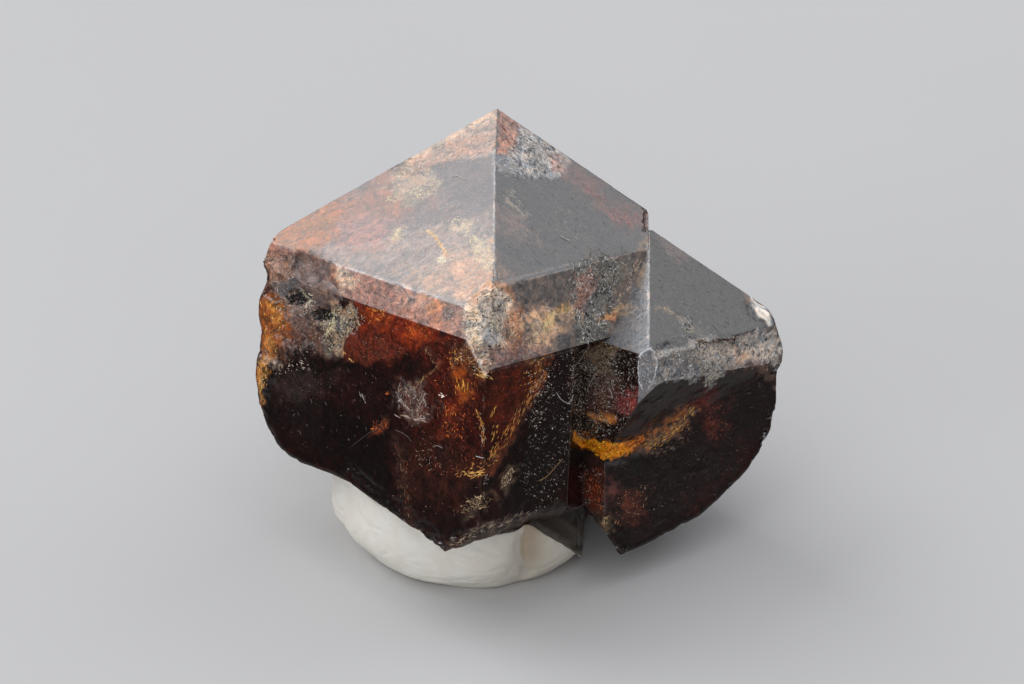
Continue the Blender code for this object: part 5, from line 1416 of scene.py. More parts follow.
# crust between the crystals: grey-green with white scribbles
splinters(flakes, 560, (1.5, 6), (0.6, 1.4), ((0.80, 0.80, 0.78), GREY, (0.26, 0.27, 0.25), BLACK, BLACK, BLACK, (0.70, 0.70, 0.66)), 29, at=((574, 266), (590, 258), (614, 252), (622, 262), (612, 300), (602, 336), (578, 346), (572, 306)), turn=90, lift=(0.01, 0.04), clump=0.5)
splinters(flakes, 40, (2, 6), (0.7, 1.6), ((0.34, 0.12, 0.09), (0.46, 0.26, 0.20)), 30, at=((572, 300), (580, 276), (590, 270), (588, 296), (576, 308)), angle=50, turn=25)
splinters(flakes, 70, (1.5, 5), (0.7, 1.4), ((0.90, 0.60, 0.30), CREAM, PALE), 31, at=((628, 282), (632, 266), (640, 256), (642, 262), (634, 280), (622, 300), (616, 300)), angle=60, turn=25)
splinters(flakes, 60, (2, 6), (0.8, 1.6), ((0.94, 0.62, 0.32), (0.90, 0.52, 0.24), CREAM), 32, line=((606, 318), (616, 310), (632, 305)), spread=3, turn=18)
splinters(flakes, 14, (3, 7), (1.6, 3.2), ((0.90, 0.38, 0.14),), 33, at=((603, 320), (608, 312), (614, 312), (611, 320)), turn=40)
# crust band along the foot of the smaller pyramid, and its golden arc
splinters(flakes, 520, (1.2, 4.5), (0.6, 1.5), ((0.84, 0.80, 0.74), PALE, GREY, CREAM, (0.24, 0.22, 0.20), BLACK, BLACK), 34, at=((668, 352), (700, 344), (745, 336), (778, 332), (783, 350), (782, 364), (734, 366), (704, 378), (660, 384)), angle=15, turn=60, lift=(0.008, 0.03), clump=0.5)
splinters(flakes, 90, (3, 9), (0.9, 1.9), (BLACK, BLACK, (0.10, 0.06, 0.045), (0.26, 0.14, 0.09)), 146, line=((697, 341), (708, 343), (722, 340), (736, 339)), spread=2.0, turn=14, lift=(0.01, 0.04))
splinters(flakes, 200, (2, 7), (0.6, 1.3), ((0.84, 0.83, 0.80), (0.66, 0.64, 0.58), (0.74, 0.66, 0.46), BLACK, (0.20, 0.19, 0.18)), 147, line=((684, 318), (692, 334), (702, 352), (710, 370), (713, 386)), spread=8, turn=45, lift=(0.01, 0.04))
# near-white splinters on the smaller crystal's right shoulder: a painted highlight on a small chipped facet
splinters(flakes, 50, (5, 11), (1.1, 2.2), ((1.0, 0.95, 0.88), (0.94, 0.88, 0.80)), 148, line=((752, 298), (758, 306), (765, 316), (770, 324)), spread=2.0, turn=5, lift=(0.01, 0.03))
splinters(flakes, 34, (2, 5), (0.6, 1.2), ((0.90, 0.66, 0.40), CREAM), 35, line=((655, 307), (664, 308), (672, 312), (682, 320)), spread=1.6, turn=14)
splinters(flakes, 110, (2, 8), (0.5, 1.0), ((0.86, 0.86, 0.86), PALE, GREY), 136, at=((641, 352), (655, 358), (655, 384), (640, 387)), angle=70, turn=50)
# bright lines round the grey lens: painted highlights along its edges
splinters(flakes, 70, (3, 8), (0.6, 1.2), ((0.92, 0.92, 0.93), (0.76, 0.77, 0.79)), 138, line=((640, 355), (643, 352), (649, 349), (654, 351)), spread=0.5, turn=5)
splinters(flakes, 60, (3, 8), (0.6, 1.1), ((0.90, 0.90, 0.92), (0.70, 0.71, 0.73)), 139, line=((640, 355), (638, 368), (639, 382), (643, 390)), spread=0.5, turn=5)
splinters(flakes, 60, (3, 8), (0.6, 1.1), ((0.90, 0.90, 0.92), (0.66, 0.67, 0.69)), 140, line=((654, 351), (657, 362), (655, 376), (648, 389)), spread=0.6, turn=6)
splinters(flakes, 90, (1.5, 5), (0.5, 1.1), ((0.84, 0.84, 0.82), (0.66, 0.62, 0.56), PALE), 141, at=((584, 318), (604, 310), (606, 332), (586, 344), (578, 336)), turn=60, lift=(0.01, 0.04), clump=0.4)
splinters(flakes, 150, (4, 13), (0.45, 0.9), ((0.15, 0.15, 0.155), (0.23, 0.235, 0.24), (0.12, 0.11, 0.11)), 137, at=((652, 238), (740, 292), (758, 320), (700, 338), (655, 342)), angle=-35, turn=16)
splinters(flakes, 90, (1.2, 4), (0.5, 1.0), (GREY, PALE, (0.20, 0.20, 0.20)), 36, at=((656, 300), (690, 300), (710, 330), (660, 344)), turn=60)
splinters(flakes, 110, (1.5, 5), (0.6, 1.5), ((0.84, 0.66, 0.50), (0.86, 0.80, 0.70), BROWN, BLACK), 37, at=((740, 340), (778, 334), (782, 352), (776, 378), (756, 364)), turn=60, clump=0.4)
# steep left face
splinters(flakes, 110, (1.5, 5), (0.8, 1.7), ((0.84, 0.74, 0.54), PALE, (0.80, 0.56, 0.34), BROWN), 38, at=((334, 264), (350, 268), (356, 284), (352, 294), (338, 290)), turn=70, clump=0.5)
splinters(flakes, 70, (2, 6), (0.7, 1.5), ((0.92, 0.46, 0.20), AMBER, CREAM), 39, at=((424, 298), (442, 298), (440, 322), (428, 316)), angle=70, turn=40, clump=0.4)
splinters(flakes, 240, (1.5, 5), (0.5, 1.2), (PALE, PINK, (0.26, 0.12, 0.09), (0.20, 0.10, 0.08), CREAM), 40, at=((352, 272), (424, 298), (424, 318), (352, 294)), angle=20, turn=60, clump=0.3)
splinters(flakes, 150, (1.5, 5), (0.6, 1.3), (PALE, GREY, CREAM, (0.30, 0.16, 0.12), (0.20, 0.11, 0.09)), 41, at=((442, 302), (466, 308), (468, 336), (442, 324)), turn=70, clump=0.3)
# broken shoulder: grey and cream crust, with painted shade in its pits
splinters(flakes, 380, (1.2, 5), (0.8, 2.1), ((0.78, 0.68, 0.46), CREAM, GREY, BLACK, BLACK, BLACK, (0.52, 0.44, 0.28), (0.20, 0.22, 0.21)), 42, at=((322, 318), (334, 306), (360, 308), (364, 322), (354, 332), (342, 336), (340, 350), (328, 346), (320, 330)), turn=90, lift=(0.01, 0.06), clump=0.5)
splinters(flakes, 260, (1.2, 4.5), (0.6, 1.6), (PALE, (0.60, 0.48, 0.42), GREY, BROWN, BLACK, BLACK, (0.24, 0.13, 0.10)), 43, at=((276, 290), (300, 286), (316, 300), (320, 320), (300, 318), (278, 304)), turn=90, lift=(0.01, 0.04), clump=0.5)
splinters(flakes, 190, (1.5, 6), (0.6, 1.4), ((0.62, 0.36, 0.22), (0.70, 0.54, 0.44), BROWN, (0.12, 0.06, 0.045)), 44, at=((264, 256), (290, 252), (300, 270), (286, 284), (268, 284)), angle=-20, turn=40, clump=0.3)
# black flakes in the two pits: painted shade in their hollows
splinters(flakes, 90, (3, 8), (1.2, 2.6), ((0.010, 0.010, 0.010), (0.020, 0.018, 0.016)), 142, at=((287, 296), (299, 293), (307, 299), (301, 306), (289, 304)), angle=-20, turn=35, lift=(0.012, 0.03))
splinters(flakes, 80, (3, 7), (1.2, 2.4), ((0.010, 0.010, 0.010), (0.020, 0.018, 0.016)), 143, at=((312, 312), (322, 309), (332, 316), (324, 322), (314, 319)), angle=10, turn=35, lift=(0.012, 0.03))
splinters(flakes, 60, (2, 6), (0.8, 1.8), ((0.80, 0.70, 0.48), PALE, (0.62, 0.54, 0.40)), 144, line=((300, 289), (306, 294), (312, 300), (306, 307)), spread=2.2, turn=30, lift=(0.012, 0.04))
splinters(flakes, 90, (2, 6), (0.8, 1.9), ((0.86, 0.74, 0.46), (0.78, 0.68, 0.48), (0.46, 0.40, 0.26)), 145, line=((332, 312), (336, 318), (332, 326), (326, 332), (328, 342)), spread=3, turn=35, lift=(0.012, 0.05))
splinters(flakes, 80, (1.5, 5), (0.6, 1.6), (CREAM, PALE, (0.50, 0.36, 0.22)), 45, at=((264, 358), (306, 360), (312, 370), (296, 374), (268, 370)), turn=60, clump=0.5)
# orange flakes down the left end: painted glow of light shining through the thin edge
splinters(flakes, 90, (2, 7), (0.8, 2.0), ((1.0, 0.54, 0.12), (0.95, 0.40, 0.06), (0.84, 0.26, 0.04)), 46, at=((262, 302), (282, 304), (284, 336), (270, 356), (262, 340)), angle=55, turn=40, clump=0.4)
splinters(flakes, 40, (2, 7), (0.8, 2.0), ((1.0, 0.58, 0.16), (0.95, 0.44, 0.08)), 47, at=((256, 362), (268, 358), (268, 386), (262, 410), (257, 392)), angle=80, turn=30)
splinters(flakes, 240, (1.5, 5), (0.6, 1.5), (BROWN, (0.30, 0.17, 0.12), (0.07, 0.04, 0.03), BLACK, CREAM, RUST), 48, at=((286, 326), (318, 322), (342, 340), (340, 356), (300, 352)), turn=60, clump=0.4)
splinters(flakes, 12, (3, 6), (0.8, 1.6), ((0.92, 0.58, 0.22), GOLD), 49, line=((342, 352), (348, 358), (354, 363)), spread=1.5, turn=10)
# painted glow under the steep left face
splinters(flakes, 260, (2, 9), (0.6, 1.5), (RUST, RED, RED, DEEP, DEEP, DEEP, DEEP), 50, at=((340, 294), (380, 306), (425, 324), (466, 338), (452, 350), (440, 342), (404, 356), (372, 362), (366, 330), (360, 308)), angle=25, turn=40, clump=0.4)
splinters(flakes, 40, (2, 6), (0.8, 2.0), ((1.0, 0.36, 0.03), AMBER), 51, at=((366, 308), (382, 308), (392, 318), (376, 320)), angle=-20, turn=40, clump=0.4)
splinters(flakes, 26, (2, 6), (0.7, 1.6), ((1.0, 0.30, 0.02), ORANGE), 52, at=((404, 324), (424, 330), (434, 340), (414, 342)), angle=-40, turn=30, clump=0.4)
splinters(flakes, 90, (1.5, 5), (0.5, 1.1), ((0.44, 0.22, 0.13), RUST, BROWN, DEEP), 53, at=((344, 342), (372, 336), (402, 344), (400, 356), (346, 362)), angle=10, turn=40, clump=0.4)
# the red window, partly painted glow, and its fractures with painted glints
splinters(flakes, 520, (2, 10), (0.5, 1.2), (RED, DEEP, DEEP, DEEP, (0.24, 0.04, 0.012), (0.09, 0.012, 0.005)), 54, at=((420, 344), (452, 340), (486, 346), (526, 352), (526, 398), (510, 430), (484, 470), (446, 474), (424, 450), (416, 400)), angle=-55, turn=45, clump=0.5)
splinters(flakes, 90, (2, 7), (0.5, 1.3), (ORANGE, RUST, RED), 55, at=((434, 352), (470, 350), (482, 400), (470, 436), (444, 440), (432, 400)), angle=-70, turn=35, clump=0.5)
splinters(flakes, 14, (6, 13), (1.0, 2.2), ((1.0, 0.44, 0.03), (1.0, 0.52, 0.06)), 56, at=((455, 396), (456, 378), (463, 372), (468, 384), (466, 398)), angle=80, turn=12)
splinters(flakes, 26, (2, 6), (0.8, 2.0), ((1.0, 0.42, 0.06), (0.98, 0.60, 0.16)), 57, at=((446, 352), (456, 346), (462, 356), (454, 372), (448, 362)), turn=60)
splinters(flakes, 26, (2, 5), (0.8, 1.8), ((1.0, 0.34, 0.04), ORANGE), 58, at=((444, 406), (456, 404), (456, 416), (446, 418)), angle=45, turn=40)
splinters(flakes, 30, (2, 5), (0.8, 1.8), (ORANGE, AMBER, RUST), 59, at=((440, 420), (456, 422), (462, 438), (446, 440)), angle=60, turn=40)
splinters(flakes, 150, (1.5, 5), (0.7, 1.5), (CREAM, GOLD, (0.70, 0.42, 0.14), BROWN), 60, at=((456, 346), (476, 342), (490, 352), (492, 372), (482, 382), (470, 372)), angle=-45, turn=50, clump=0.5)
splinters(flakes, 16, (4, 9), (1.0, 1.8), ((0.98, 0.62, 0.18), GOLD), 61, line=((476, 374), (482, 376), (492, 380)), spread=2, turn=12)
splinters(flakes, 7, (8, 14), (1.2, 2.0), ((1.0, 0.62, 0.18), (1.0, 0.50, 0.08)), 62, line=((491, 416), (496, 406)), spread=1.2, turn=5)
splinters(flakes, 12, (7, 13), (0.9, 1.8), ((0.96, 0.50, 0.10), GOLD), 63, line=((493, 440), (497, 424)), spread=2.5, turn=6)
splinters(flakes, 60, (2, 6), (0.6, 1.4), (GOLD, CREAM, AMBER), 64, line=((476, 410), (482, 424), (484, 446)), spread=3, turn=25)
splinters(flakes, 180, (4, 11), (0.6, 1.4), (GOLD, AMBER, (0.72, 0.30, 0.07), RUST), 65, line=((546, 374), (538, 386), (527, 402), (513, 424), (501, 444), (489, 456)), spread=5, turn=9)
splinters(flakes, 70, (2, 6), (0.7, 1.6), (GOLD, AMBER, CREAM, RUST), 66, at=((520, 386), (524, 366), (546, 354), (550, 366), (538, 386)), turn=50, clump=0.4)
splinters(flakes, 90, (3, 8), (0.6, 1.4), (GOLD, (0.74, 0.32, 0.08), RUST), 67, at=((450, 472), (470, 466), (488, 452), (502, 448), (496, 466), (476, 480), (456, 478)), angle=20, turn=20, clump=0.4)
splinters(flakes, 20, (4, 8), (1.0, 2.0), ((1.0, 0.60, 0.14), GOLD), 68, line=((462, 472), (470, 474), (480, 472)), spread=3, turn=14)
splinters(flakes, 50, (2, 6), (0.5, 1.1), (CREAM, RUST, (0.46, 0.30, 0.20)), 69, at=((424, 440), (440, 462), (452, 480), (424, 472), (412, 450)), angle=35, turn=40)
# pale tangle, edge and spot left of the window
splinters(flakes, 330, (3, 10), (0.4, 0.9), ((0.84, 0.78, 0.72), (0.62, 0.52, 0.45), (0.36, 0.24, 0.19), BROWN, DEEP, BLACK), 70, at=((394, 386), (410, 382), (426, 392), (428, 414), (420, 422), (400, 414)), turn=80, clump=0.5)
splinters(flakes, 26, (5, 11), (0.5, 1.0), (PALE, (0.56, 0.40, 0.30)), 71, line=((395, 414), (410, 418), (427, 421)), spread=2, turn=8)
splinters(flakes, 14, (5, 10), (0.5, 1.0), (PALE,), 72, line=((399, 400), (410, 410)), spread=1.5, turn=8)
splinters(flakes, 30, (3, 8), (0.5, 1.0), ((0.72, 0.46, 0.20), (0.50, 0.30, 0.14), BROWN), 73, line=((437, 366), (428, 375), (414, 388)), spread=1.4, turn=8)
splinters(flakes, 22, (2, 6), (0.5, 1.0), ((0.56, 0.36, 0.20), BROWN, (0.40, 0.22, 0.12)), 74, line=((424, 348), (430, 356), (436, 366)), spread=2, turn=14)
splinters(flakes, 9, (3, 6), (1.6, 3.0), ((0.84, 0.76, 0.64),), 75, at=((438, 396), (441, 393), (449, 396), (446, 400)), turn=40)
splinters(flakes, 40, (2, 6), (0.8, 1.8), ((0.80, 0.20, 0.025), (0.52, 0.12, 0.018), RUST, DEEP, BLACK), 76, at=((371, 432), (374, 420), (386, 418), (388, 426), (380, 434)), angle=40, turn=30)
splinters(flakes, 8, (2, 4), (0.8, 1.6), (ORANGE,), 77, at=((382, 393), (388, 390), (389, 395)), turn=40)
# scratches and specks on the dark left part
splinters(flakes, 26, (4, 10), (0.45, 0.9), ((0.34, 0.28, 0.25), (0.24, 0.19, 0.17)), 78, at=((300, 372), (380, 368), (392, 440), (330, 450), (288, 430)), angle=-65, turn=12)
splinters(flakes, 90, (1, 3), (0.4, 1.0), ((0.30, 0.24, 0.21), (0.20, 0.10, 0.07)), 79, at=((270, 372), (390, 368), (392, 460), (330, 462), (276, 430)), turn=80)
splinters(flakes, 9, (6, 12), (0.5, 0.9), (PALE,), 80, line=((360, 394), (367, 402)), spread=1.5, turn=6)
# lower front edge: beige patches, laid in thin lines
splinters(flakes, 130, (2, 7), (0.6, 1.5), (CREAM, (0.66, 0.50, 0.30), (0.54, 0.38, 0.20), BROWN, (0.30, 0.20, 0.11)), 81, at=((501, 488), (502, 478), (512, 467), (515, 472), (508, 486)), angle=60, turn=30)
splinters(flakes, 170, (2, 7), (0.6, 1.4), ((0.66, 0.48, 0.26), (0.50, 0.34, 0.17), BROWN, (0.12, 0.06, 0.03), BLACK), 82, at=((454, 512), (464, 502), (484, 494), (494, 498), (484, 508), (466, 513)), angle=15, turn=30, clump=0.4)
splinters(flakes, 260, (4, 13), (0.5, 1.1), ((0.54, 0.42, 0.29), (0.34, 0.23, 0.15), (0.16, 0.10, 0.07), (0.09, 0.05, 0.035), BLACK), 83, at=((448, 548), (470, 530), (500, 518), (530, 510), (530, 518), (496, 534), (456, 552)), angle=24, turn=10)
splinters(flakes, 60, (3, 8), (0.5, 1.1), ((0.40, 0.24, 0.14), BROWN, RUST), 84, line=((396, 440), (404, 476), (408, 516)), spread=8, turn=16)
splinters(flakes, 18, (2, 5), (0.5, 1.0), (PALE,), 85, line=((486, 474), (485, 484)), spread=2, turn=20)
# between the crystals, under the dust
splinters(flakes, 220, (1.5, 5), (0.6, 1.4), ((0.62, 0.44, 0.20), GOLD, BROWN, BLACK, BLACK, CREAM), 86, at=((584, 350), (602, 342), (616, 350), (606, 372), (586, 376)), angle=50, turn=40, clump=0.4)
splinters(flakes, 50, (2, 7), (0.6, 1.4), ((0.70, 0.24, 0.20), (0.56, 0.14, 0.12)), 87, at=((612, 404), (620, 390), (636, 386), (636, 406), (624, 416)), angle=30, turn=30)
splinters(flakes, 40, (3, 9), (0.8, 1.8), ((0.92, 0.42, 0.10), GOLD), 88, line=((588, 413), (598, 416), (611, 424)), spread=3.5, turn=12)
splinters(flakes, 34, (2, 6), (0.6, 1.4), (ORANGE, RUST, GOLD), 89, at=((576, 436), (580, 430), (590, 432), (590, 440)), turn=30)
splinters(flakes, 60, (3, 8), (0.6, 1.4), (ORANGE, RUST, RED), 90, at=((584, 470), (598, 468), (604, 490), (602, 510), (590, 500)), angle=-70, turn=20)
# golden vein
splinters(flakes, 400, (2, 7), (0.8, 2.0), ((1.0, 0.46, 0.010), (1.0, 0.38, 0.006), (1.0, 0.62, 0.04), (0.90, 0.27, 0.006), (0.40, 0.12, 0.006)), 91, at=((574, 437), (590, 440), (612, 443), (630, 447), (630, 452), (618, 457), (605, 459), (596, 455), (588, 447)), angle=-12, turn=35, lift=(0.02, 0.09))
splinters(flakes, 80, (3, 8), (0.8, 1.7), ((0.96, 0.30, 0.02), AMBER, RUST, DEEP), 92, line=((628, 448), (636, 442), (644, 437)), spread=4, turn=14, lift=(0.01, 0.05))
splinters(flakes, 260, (2, 8), (0.6, 1.5), ((0.66, 0.34, 0.10), (0.80, 0.36, 0.06), GOLD, BROWN, (0.50, 0.36, 0.22), (0.08, 0.04, 0.02), (0.24, 0.11, 0.04)), 93, line=((644, 446), (660, 440), (674, 430), (686, 416), (692, 408)), spread=6, turn=20, lift=(0.006, 0.03))
splinters(flakes, 70, (2, 6), (0.5, 1.2), ((0.40, 0.32, 0.22), BROWN), 94, at=((642, 452), (666, 446), (690, 430), (690, 440), (660, 458)), angle=25, turn=30)
# dim red and brown patches in the smaller crystal's broken front
splinters(flakes, 70, (2, 7), (0.5, 1.2), ((0.40, 0.11, 0.06), (0.26, 0.06, 0.03)), 95, at=((700, 400), (722, 402), (728, 428), (714, 442), (702, 430)), angle=60, turn=40)
splinters(flakes, 90, (2, 6), (0.5, 1.2), ((0.46, 0.16, 0.07), (0.30, 0.09, 0.04), (0.56, 0.34, 0.20)), 96, at=((622, 492), (644, 484), (650, 500), (636, 522), (616, 528), (610, 512)), angle=55, turn=30, clump=0.3)
splinters(flakes, 26, (3, 8), (0.6, 1.3), ((0.62, 0.44, 0.19), (0.44, 0.30, 0.13), BROWN), 97, at=((600, 530), (603, 518), (609, 516), (608, 524)), angle=65, turn=12)
splinters(flakes, 110, (1.2, 4), (0.4, 1.0), ((0.20, 0.16, 0.12), (0.12, 0.09, 0.07)), 98, at=((610, 470), (740, 440), (750, 456), (700, 514), (640, 540)), turn=60)
splinters(flakes, 50, (3, 9), (0.4, 0.9), ((0.15, 0.12, 0.10),), 99, at=((650, 400), (770, 380), (774, 420), (690, 440)), angle=25, turn=20)


def spread_hidden(seed, count):
    """Random places on the faces that look away: point, normal and whether the face is an upper one."""
    rng = random.Random(seed)
    corners3 = surface[triangles]
    cross = np.cross(corners3[:, 1] - corners3[:, 0], corners3[:, 2] - corners3[:, 0])
    area = np.linalg.norm(cross, axis=1) / 2
    facing_away = (cross @ CAM_BACK) / (2 * area + 1e-12) < -0.02
    weight = np.where(facing_away, area, 0.0)
    total = np.cumsum(weight)
    upper = np.array([n in UPPER or n in {"NBL", "NBR"} for n in NAMES])
    for _ in range(count):
        k = int(np.searchsorted(total, rng.random() * total[-1]))
        a, b = rng.random(), rng.random()
        if a + b > 1:
            a, b = 1 - a, 1 - b
        p0, p1, p2 = corners3[k]
        yield (Vector(p0 + (p1 - p0) * a + (p2 - p0) * b), Vector(cross[k] / (2 * area[k])),
               bool(upper[tri_name[k]]), rng)


for place, out, is_top, rng in spread_hidden(401, 2600):
    drift = noise.noise(place * 0.45 + Vector((5.0, 3.0, 1.0)))
    if drift < -0.08:
        continue
    if is_top:
        tone = rng.choice((PALE, CREAM, PINK, (0.50, 0.30, 0.24), GREY))
    elif out.z < -0.5:
        tone = rng.choice((BROWN, (0.30, 0.21, 0.15), BLACK, RUST))
    else:
        tone = rng.choice((RUST, RED, DEEP, ORANGE, BROWN, (0.44, 0.30, 0.18)))
    along = Vector((math.cos(drift * 9), math.sin(drift * 9), 0.7 + drift)).cross(out).normalized()
    along = (along + out.cross(along) * rng.gauss(0, 0.5)).normalized()
    flakes.lens(place, along, out.cross(along), out, rng.uniform(0.06, 0.34), rng.uniform(0.025, 0.06),
                rng.uniform(0.004, 0.016), tuple(min(c * rng.uniform(0.7, 1.2), 1.0) for c in tone), rng)


def flake_material():
    g = Graph("bright_flake")
    tint = g.attribute("tint")
    at = g.vector("SCALE", g.node("ShaderNodeTexCoord", 3), 1000.0)
    shade = g.ramp(g.noise(at, 9.0, 3.0, 0.6), 0.25, 0.75, False, (0.72, 1.28))
    g.set(g.shader.inputs["Base Color"], g.vector("SCALE", tint, shade))
    g.set(g.shader.inputs["Roughness"], g.ramp(g.noise(at, 5.0, 2.0, 0.5), 0.3, 0.7, False, (0.26, 0.5)))
    g.shader.inputs["IOR"].default_value = 1.5
    g.shader.inputs["Metallic"].default_value = 0.0
    return g.material


flakes.make(flake_material())

# ======================================================================================
# Dust and lint
# ======================================================================================
dust = Scatter("dust_specks")
lint = Scatter("lint_fibres")
WHITE_DUST = ((0.78, 0.76, 0.72), (0.62, 0.58, 0.52), (0.46, 0.40, 0.33), (0.72, 0.66, 0.56))
WARM_DUST = ((0.60, 0.46, 0.32), (0.42, 0.28, 0.17), (0.70, 0.60, 0.48))


def strew(count, size, colours, seed, at, sink=0.1, clump=0.35):
    rng = random.Random(seed)
    nests = [point_in(at, rng) for _ in range(max(4, count // 22))]
    for _ in range(count):
        u, v = point_in(at, rng)
        if rng.random() < clump:
            u0, v0 = rng.choice(nests)
            u, v = u0 + rng.gauss(0, 2.6), v0 + rng.gauss(0, 2.6)
        hit, normal, _, _ = surface_at(u, v)
        if hit is None:
            continue
        r = (size[0] + (size[1] - size[0]) * rng.random() ** 3.5) / PX_PER_MM
        gain = 0.22 + 0.95 * rng.random() ** 1.4
        dust.grain(hit + normal * r * sink, r, tuple(min(c * gain, 1.0) for c in rng.choice(colours)), rng)


strew(2700, (0.4, 2.0), WHITE_DUST, 201, ((572, 350), (604, 342), (640, 352), (638, 400), (618, 440), (576, 444), (570, 400)))
strew(2200, (0.4, 1.9), WARM_DUST, 202, ((572, 356), (600, 346), (618, 380), (604, 430), (574, 444)))
strew(1100, (0.4, 1.9), WHITE_DUST, 203, ((540, 372), (572, 348), (574, 440), (560, 500), (534, 516), (520, 480), (530, 420)))
strew(260, (0.5, 2.2), WHITE_DUST, 204, ((530, 390), (548, 366), (552, 400), (536, 430), (524, 424)))
strew(260, (0.4, 1.6), WHITE_DUST, 205, ((572, 460), (604, 462), (604, 520), (588, 512)))
strew(90, (0.4, 1.6), WHITE_DUST, 206, ((606, 310), (634, 300), (646, 260), (646, 340), (612, 336)))
strew(30, (0.6, 2.6), WHITE_DUST, 207, ((628, 256), (646, 240), (646, 268), (632, 270)))
strew(60, (0.4, 1.2), WHITE_DUST, 208, ((652, 240), (740, 296), (770, 330), (700, 340), (656, 344)))
strew(70, (0.4, 1.2), WHITE_DUST, 209, ((500, 176), (560, 180), (640, 222), (574, 262), (500, 280)))
strew(90, (0.3, 1.3), ((0.92, 0.88, 0.84),), 210, ((290, 236), (490, 120), (492, 296), (335, 262)))
strew(120, (0.3, 1.2), WARM_DUST, 211, ((270, 370), (400, 360), (440, 530), (350, 480), (280, 440)))
strew(160, (0.4, 1.5), WARM_DUST, 212, ((410, 350), (520, 356), (520, 500), (440, 540), (410, 470)))
strew(150, (0.4, 1.5), WARM_DUST, 213, ((610, 460), (770, 380), (772, 430), (700, 510), (615, 540)))
strew(900, (0.4, 2.0), WHITE_DUST + WARM_DUST, 215, ((586, 352), (616, 350), (618, 384), (598, 396), (584, 376)), clump=0.6)
strew(60, (0.5, 1.8), WHITE_DUST, 214, ((640, 350), (656, 352), (656, 384), (641, 384)))


for place, out, is_top, rng in spread_hidden(402, 900):
    r = 0.018 + 0.055 * rng.random() ** 3.5
    dust.grain(place + out * r * 0.1, r, tuple(c * (0.25 + 0.75 * rng.random()) for c in rng.choice(WHITE_DUST + WARM_DUST)), rng)


def fibre(points_px, lift, radius, colour, seed):
    """A curly hair lying on the crystal along points of the picture."""
    rng = random.Random(seed)
    raw = []
    for (ax, ay), (bx, by) in zip(points_px, points_px[1:]):
        for t in (0.0, 0.25, 0.5, 0.75):
            raw.append((ax + (bx - ax) * t, ay + (by - ay) * t))
    raw.append(points_px[-1])
    for _ in range(2):      # rounds the corners
        raw = [raw[0]] + [((a[0] + 2 * b[0] + c[0]) / 4, (a[1] + 2 * b[1] + c[1]) / 4)
                          for a, b, c in zip(raw, raw[1:], raw[2:])] + [raw[-1]]
    path = []
    for k, (u, v) in enumerate(raw):
        hit, normal, _, _ = surface_at(u, v)
        if hit is None:
            continue
        bow = math.sin(math.pi * k / (len(raw) - 1))
        path.append(hit + normal * (radius * 0.7 + lift * (0.35 + 0.65 * bow) * rng.uniform(0.85, 1.15)))
    path = [p for k, p in enumerate(path) if k == 0 or (p - path[k - 1]).length > 0.01]
    if len(path) > 3:
        lint.tube(path, radius, colour)


LINT = (0.74, 0.72, 0.70)
fibre(((556, 392), (560, 399), (566, 403), (571, 404)), 0.03, 0.010, LINT, 301)
fibre(((567, 404), (571, 400), (573, 394)), 0.03, 0.009, LINT, 302)
fibre(((572, 366), (577, 364), (581, 358), (586, 350), (590, 345)), 0.02, 0.008, LINT, 303)
fibre(((589, 386), (592, 380), (596, 373)), 0.02, 0.010, LINT, 304)
fibre(((609, 388), (612, 392), (613, 398)), 0.03, 0.010, LINT, 305)
fibre(((484, 458), (480, 457), (476, 456)), 0.03, 0.012, LINT, 306)
fibre(((433, 447), (438, 445), (443, 448)), 0.04, 0.008, (0.50, 0.47, 0.44), 307)
fibre(((395, 430), (402, 432), (408, 436), (412, 442)), 0.03, 0.006, (0.26, 0.21, 0.18), 308)
fibre(((352, 446), (360, 440), (370, 432), (380, 428)), 0.03, 0.006, (0.15, 0.125, 0.11), 309)
fibre(((452, 177), (458, 176), (463, 179), (469, 180)), 0.02, 0.008, (0.80, 0.70, 0.62), 310)
fibre(((560, 236), (566, 240), (570, 241)), 0.04, 0.012, LINT, 311)
fibre(((597, 246), (602, 252), (610, 256)), 0.05, 0.008, (0.30, 0.30, 0.30), 312)
fibre(((538, 481), (546, 477), (554, 468), (562, 459)), 0.03, 0.008, (0.62, 0.38, 0.16), 313)


def speck_material(name, roughness):
    g = Graph(name)
    g.set(g.shader.inputs["Base Color"], g.attribute("tint"))
    g.shader.inputs["Roughness"].default_value = roughness
    g.shader.inputs["IOR"].default_value = 1.45
    g.shader.inputs["Metallic"].default_value = 0.0
    return g.material


dust.make(speck_material("dust", 0.75))
lint.make(speck_material("lint", 0.55))

# ======================================================================================
# Putty lump
# ======================================================================================
PUTTY_AT = Vector((-1.5984, -1.1895, 0.0))
# widest outline: direction in degrees, distance from the middle
PUTTY_RIM = [(0, 4.6), (25, 5.1), (60, 5.7), (100, 5.6), (140, 5.8), (170, 6.05), (187, 6.20), (203, 6.14),
             (218, 6.12), (237, 6.14), (254, 6.02), (268, 6.06), (279, 6.04), (288, 5.82), (297, 5.86),
             (308, 5.76), (317, 5.50), (330, 4.85), (345, 4.5)]
AROUND, UP_SIDE, OVER_TOP = 288, 54, 34


def putty_rim(a):
    a = math.degrees(a) % 360
    n = len(PUTTY_RIM)
    for i in range(n):
        x0, y0 = PUTTY_RIM[i]
        x1, y1 = PUTTY_RIM[(i + 1) % n]
        if i == n - 1:
            x1 += 360
        if x0 <= a <= x1:
            ym = PUTTY_RIM[(i - 1) % n][1]
            yp = PUTTY_RIM[(i + 2) % n][1]
            t = (a - x0) / (x1 - x0)
            m0, m1 = (y1 - ym) / 2, (yp - y0) / 2
            return ((2 * t ** 3 - 3 * t ** 2 + 1) * y0 + (t ** 3 - 2 * t ** 2 + t) * m0
                    + (-2 * t ** 3 + 3 * t ** 2) * y1 + (t ** 3 - t ** 2) * m1)
    return PUTTY_RIM[0][1]


def soft_min(a, b, k):
    h = max(k - abs(a - b), 0.0) / k
    return min(a, b) - h * h * k * 0.25


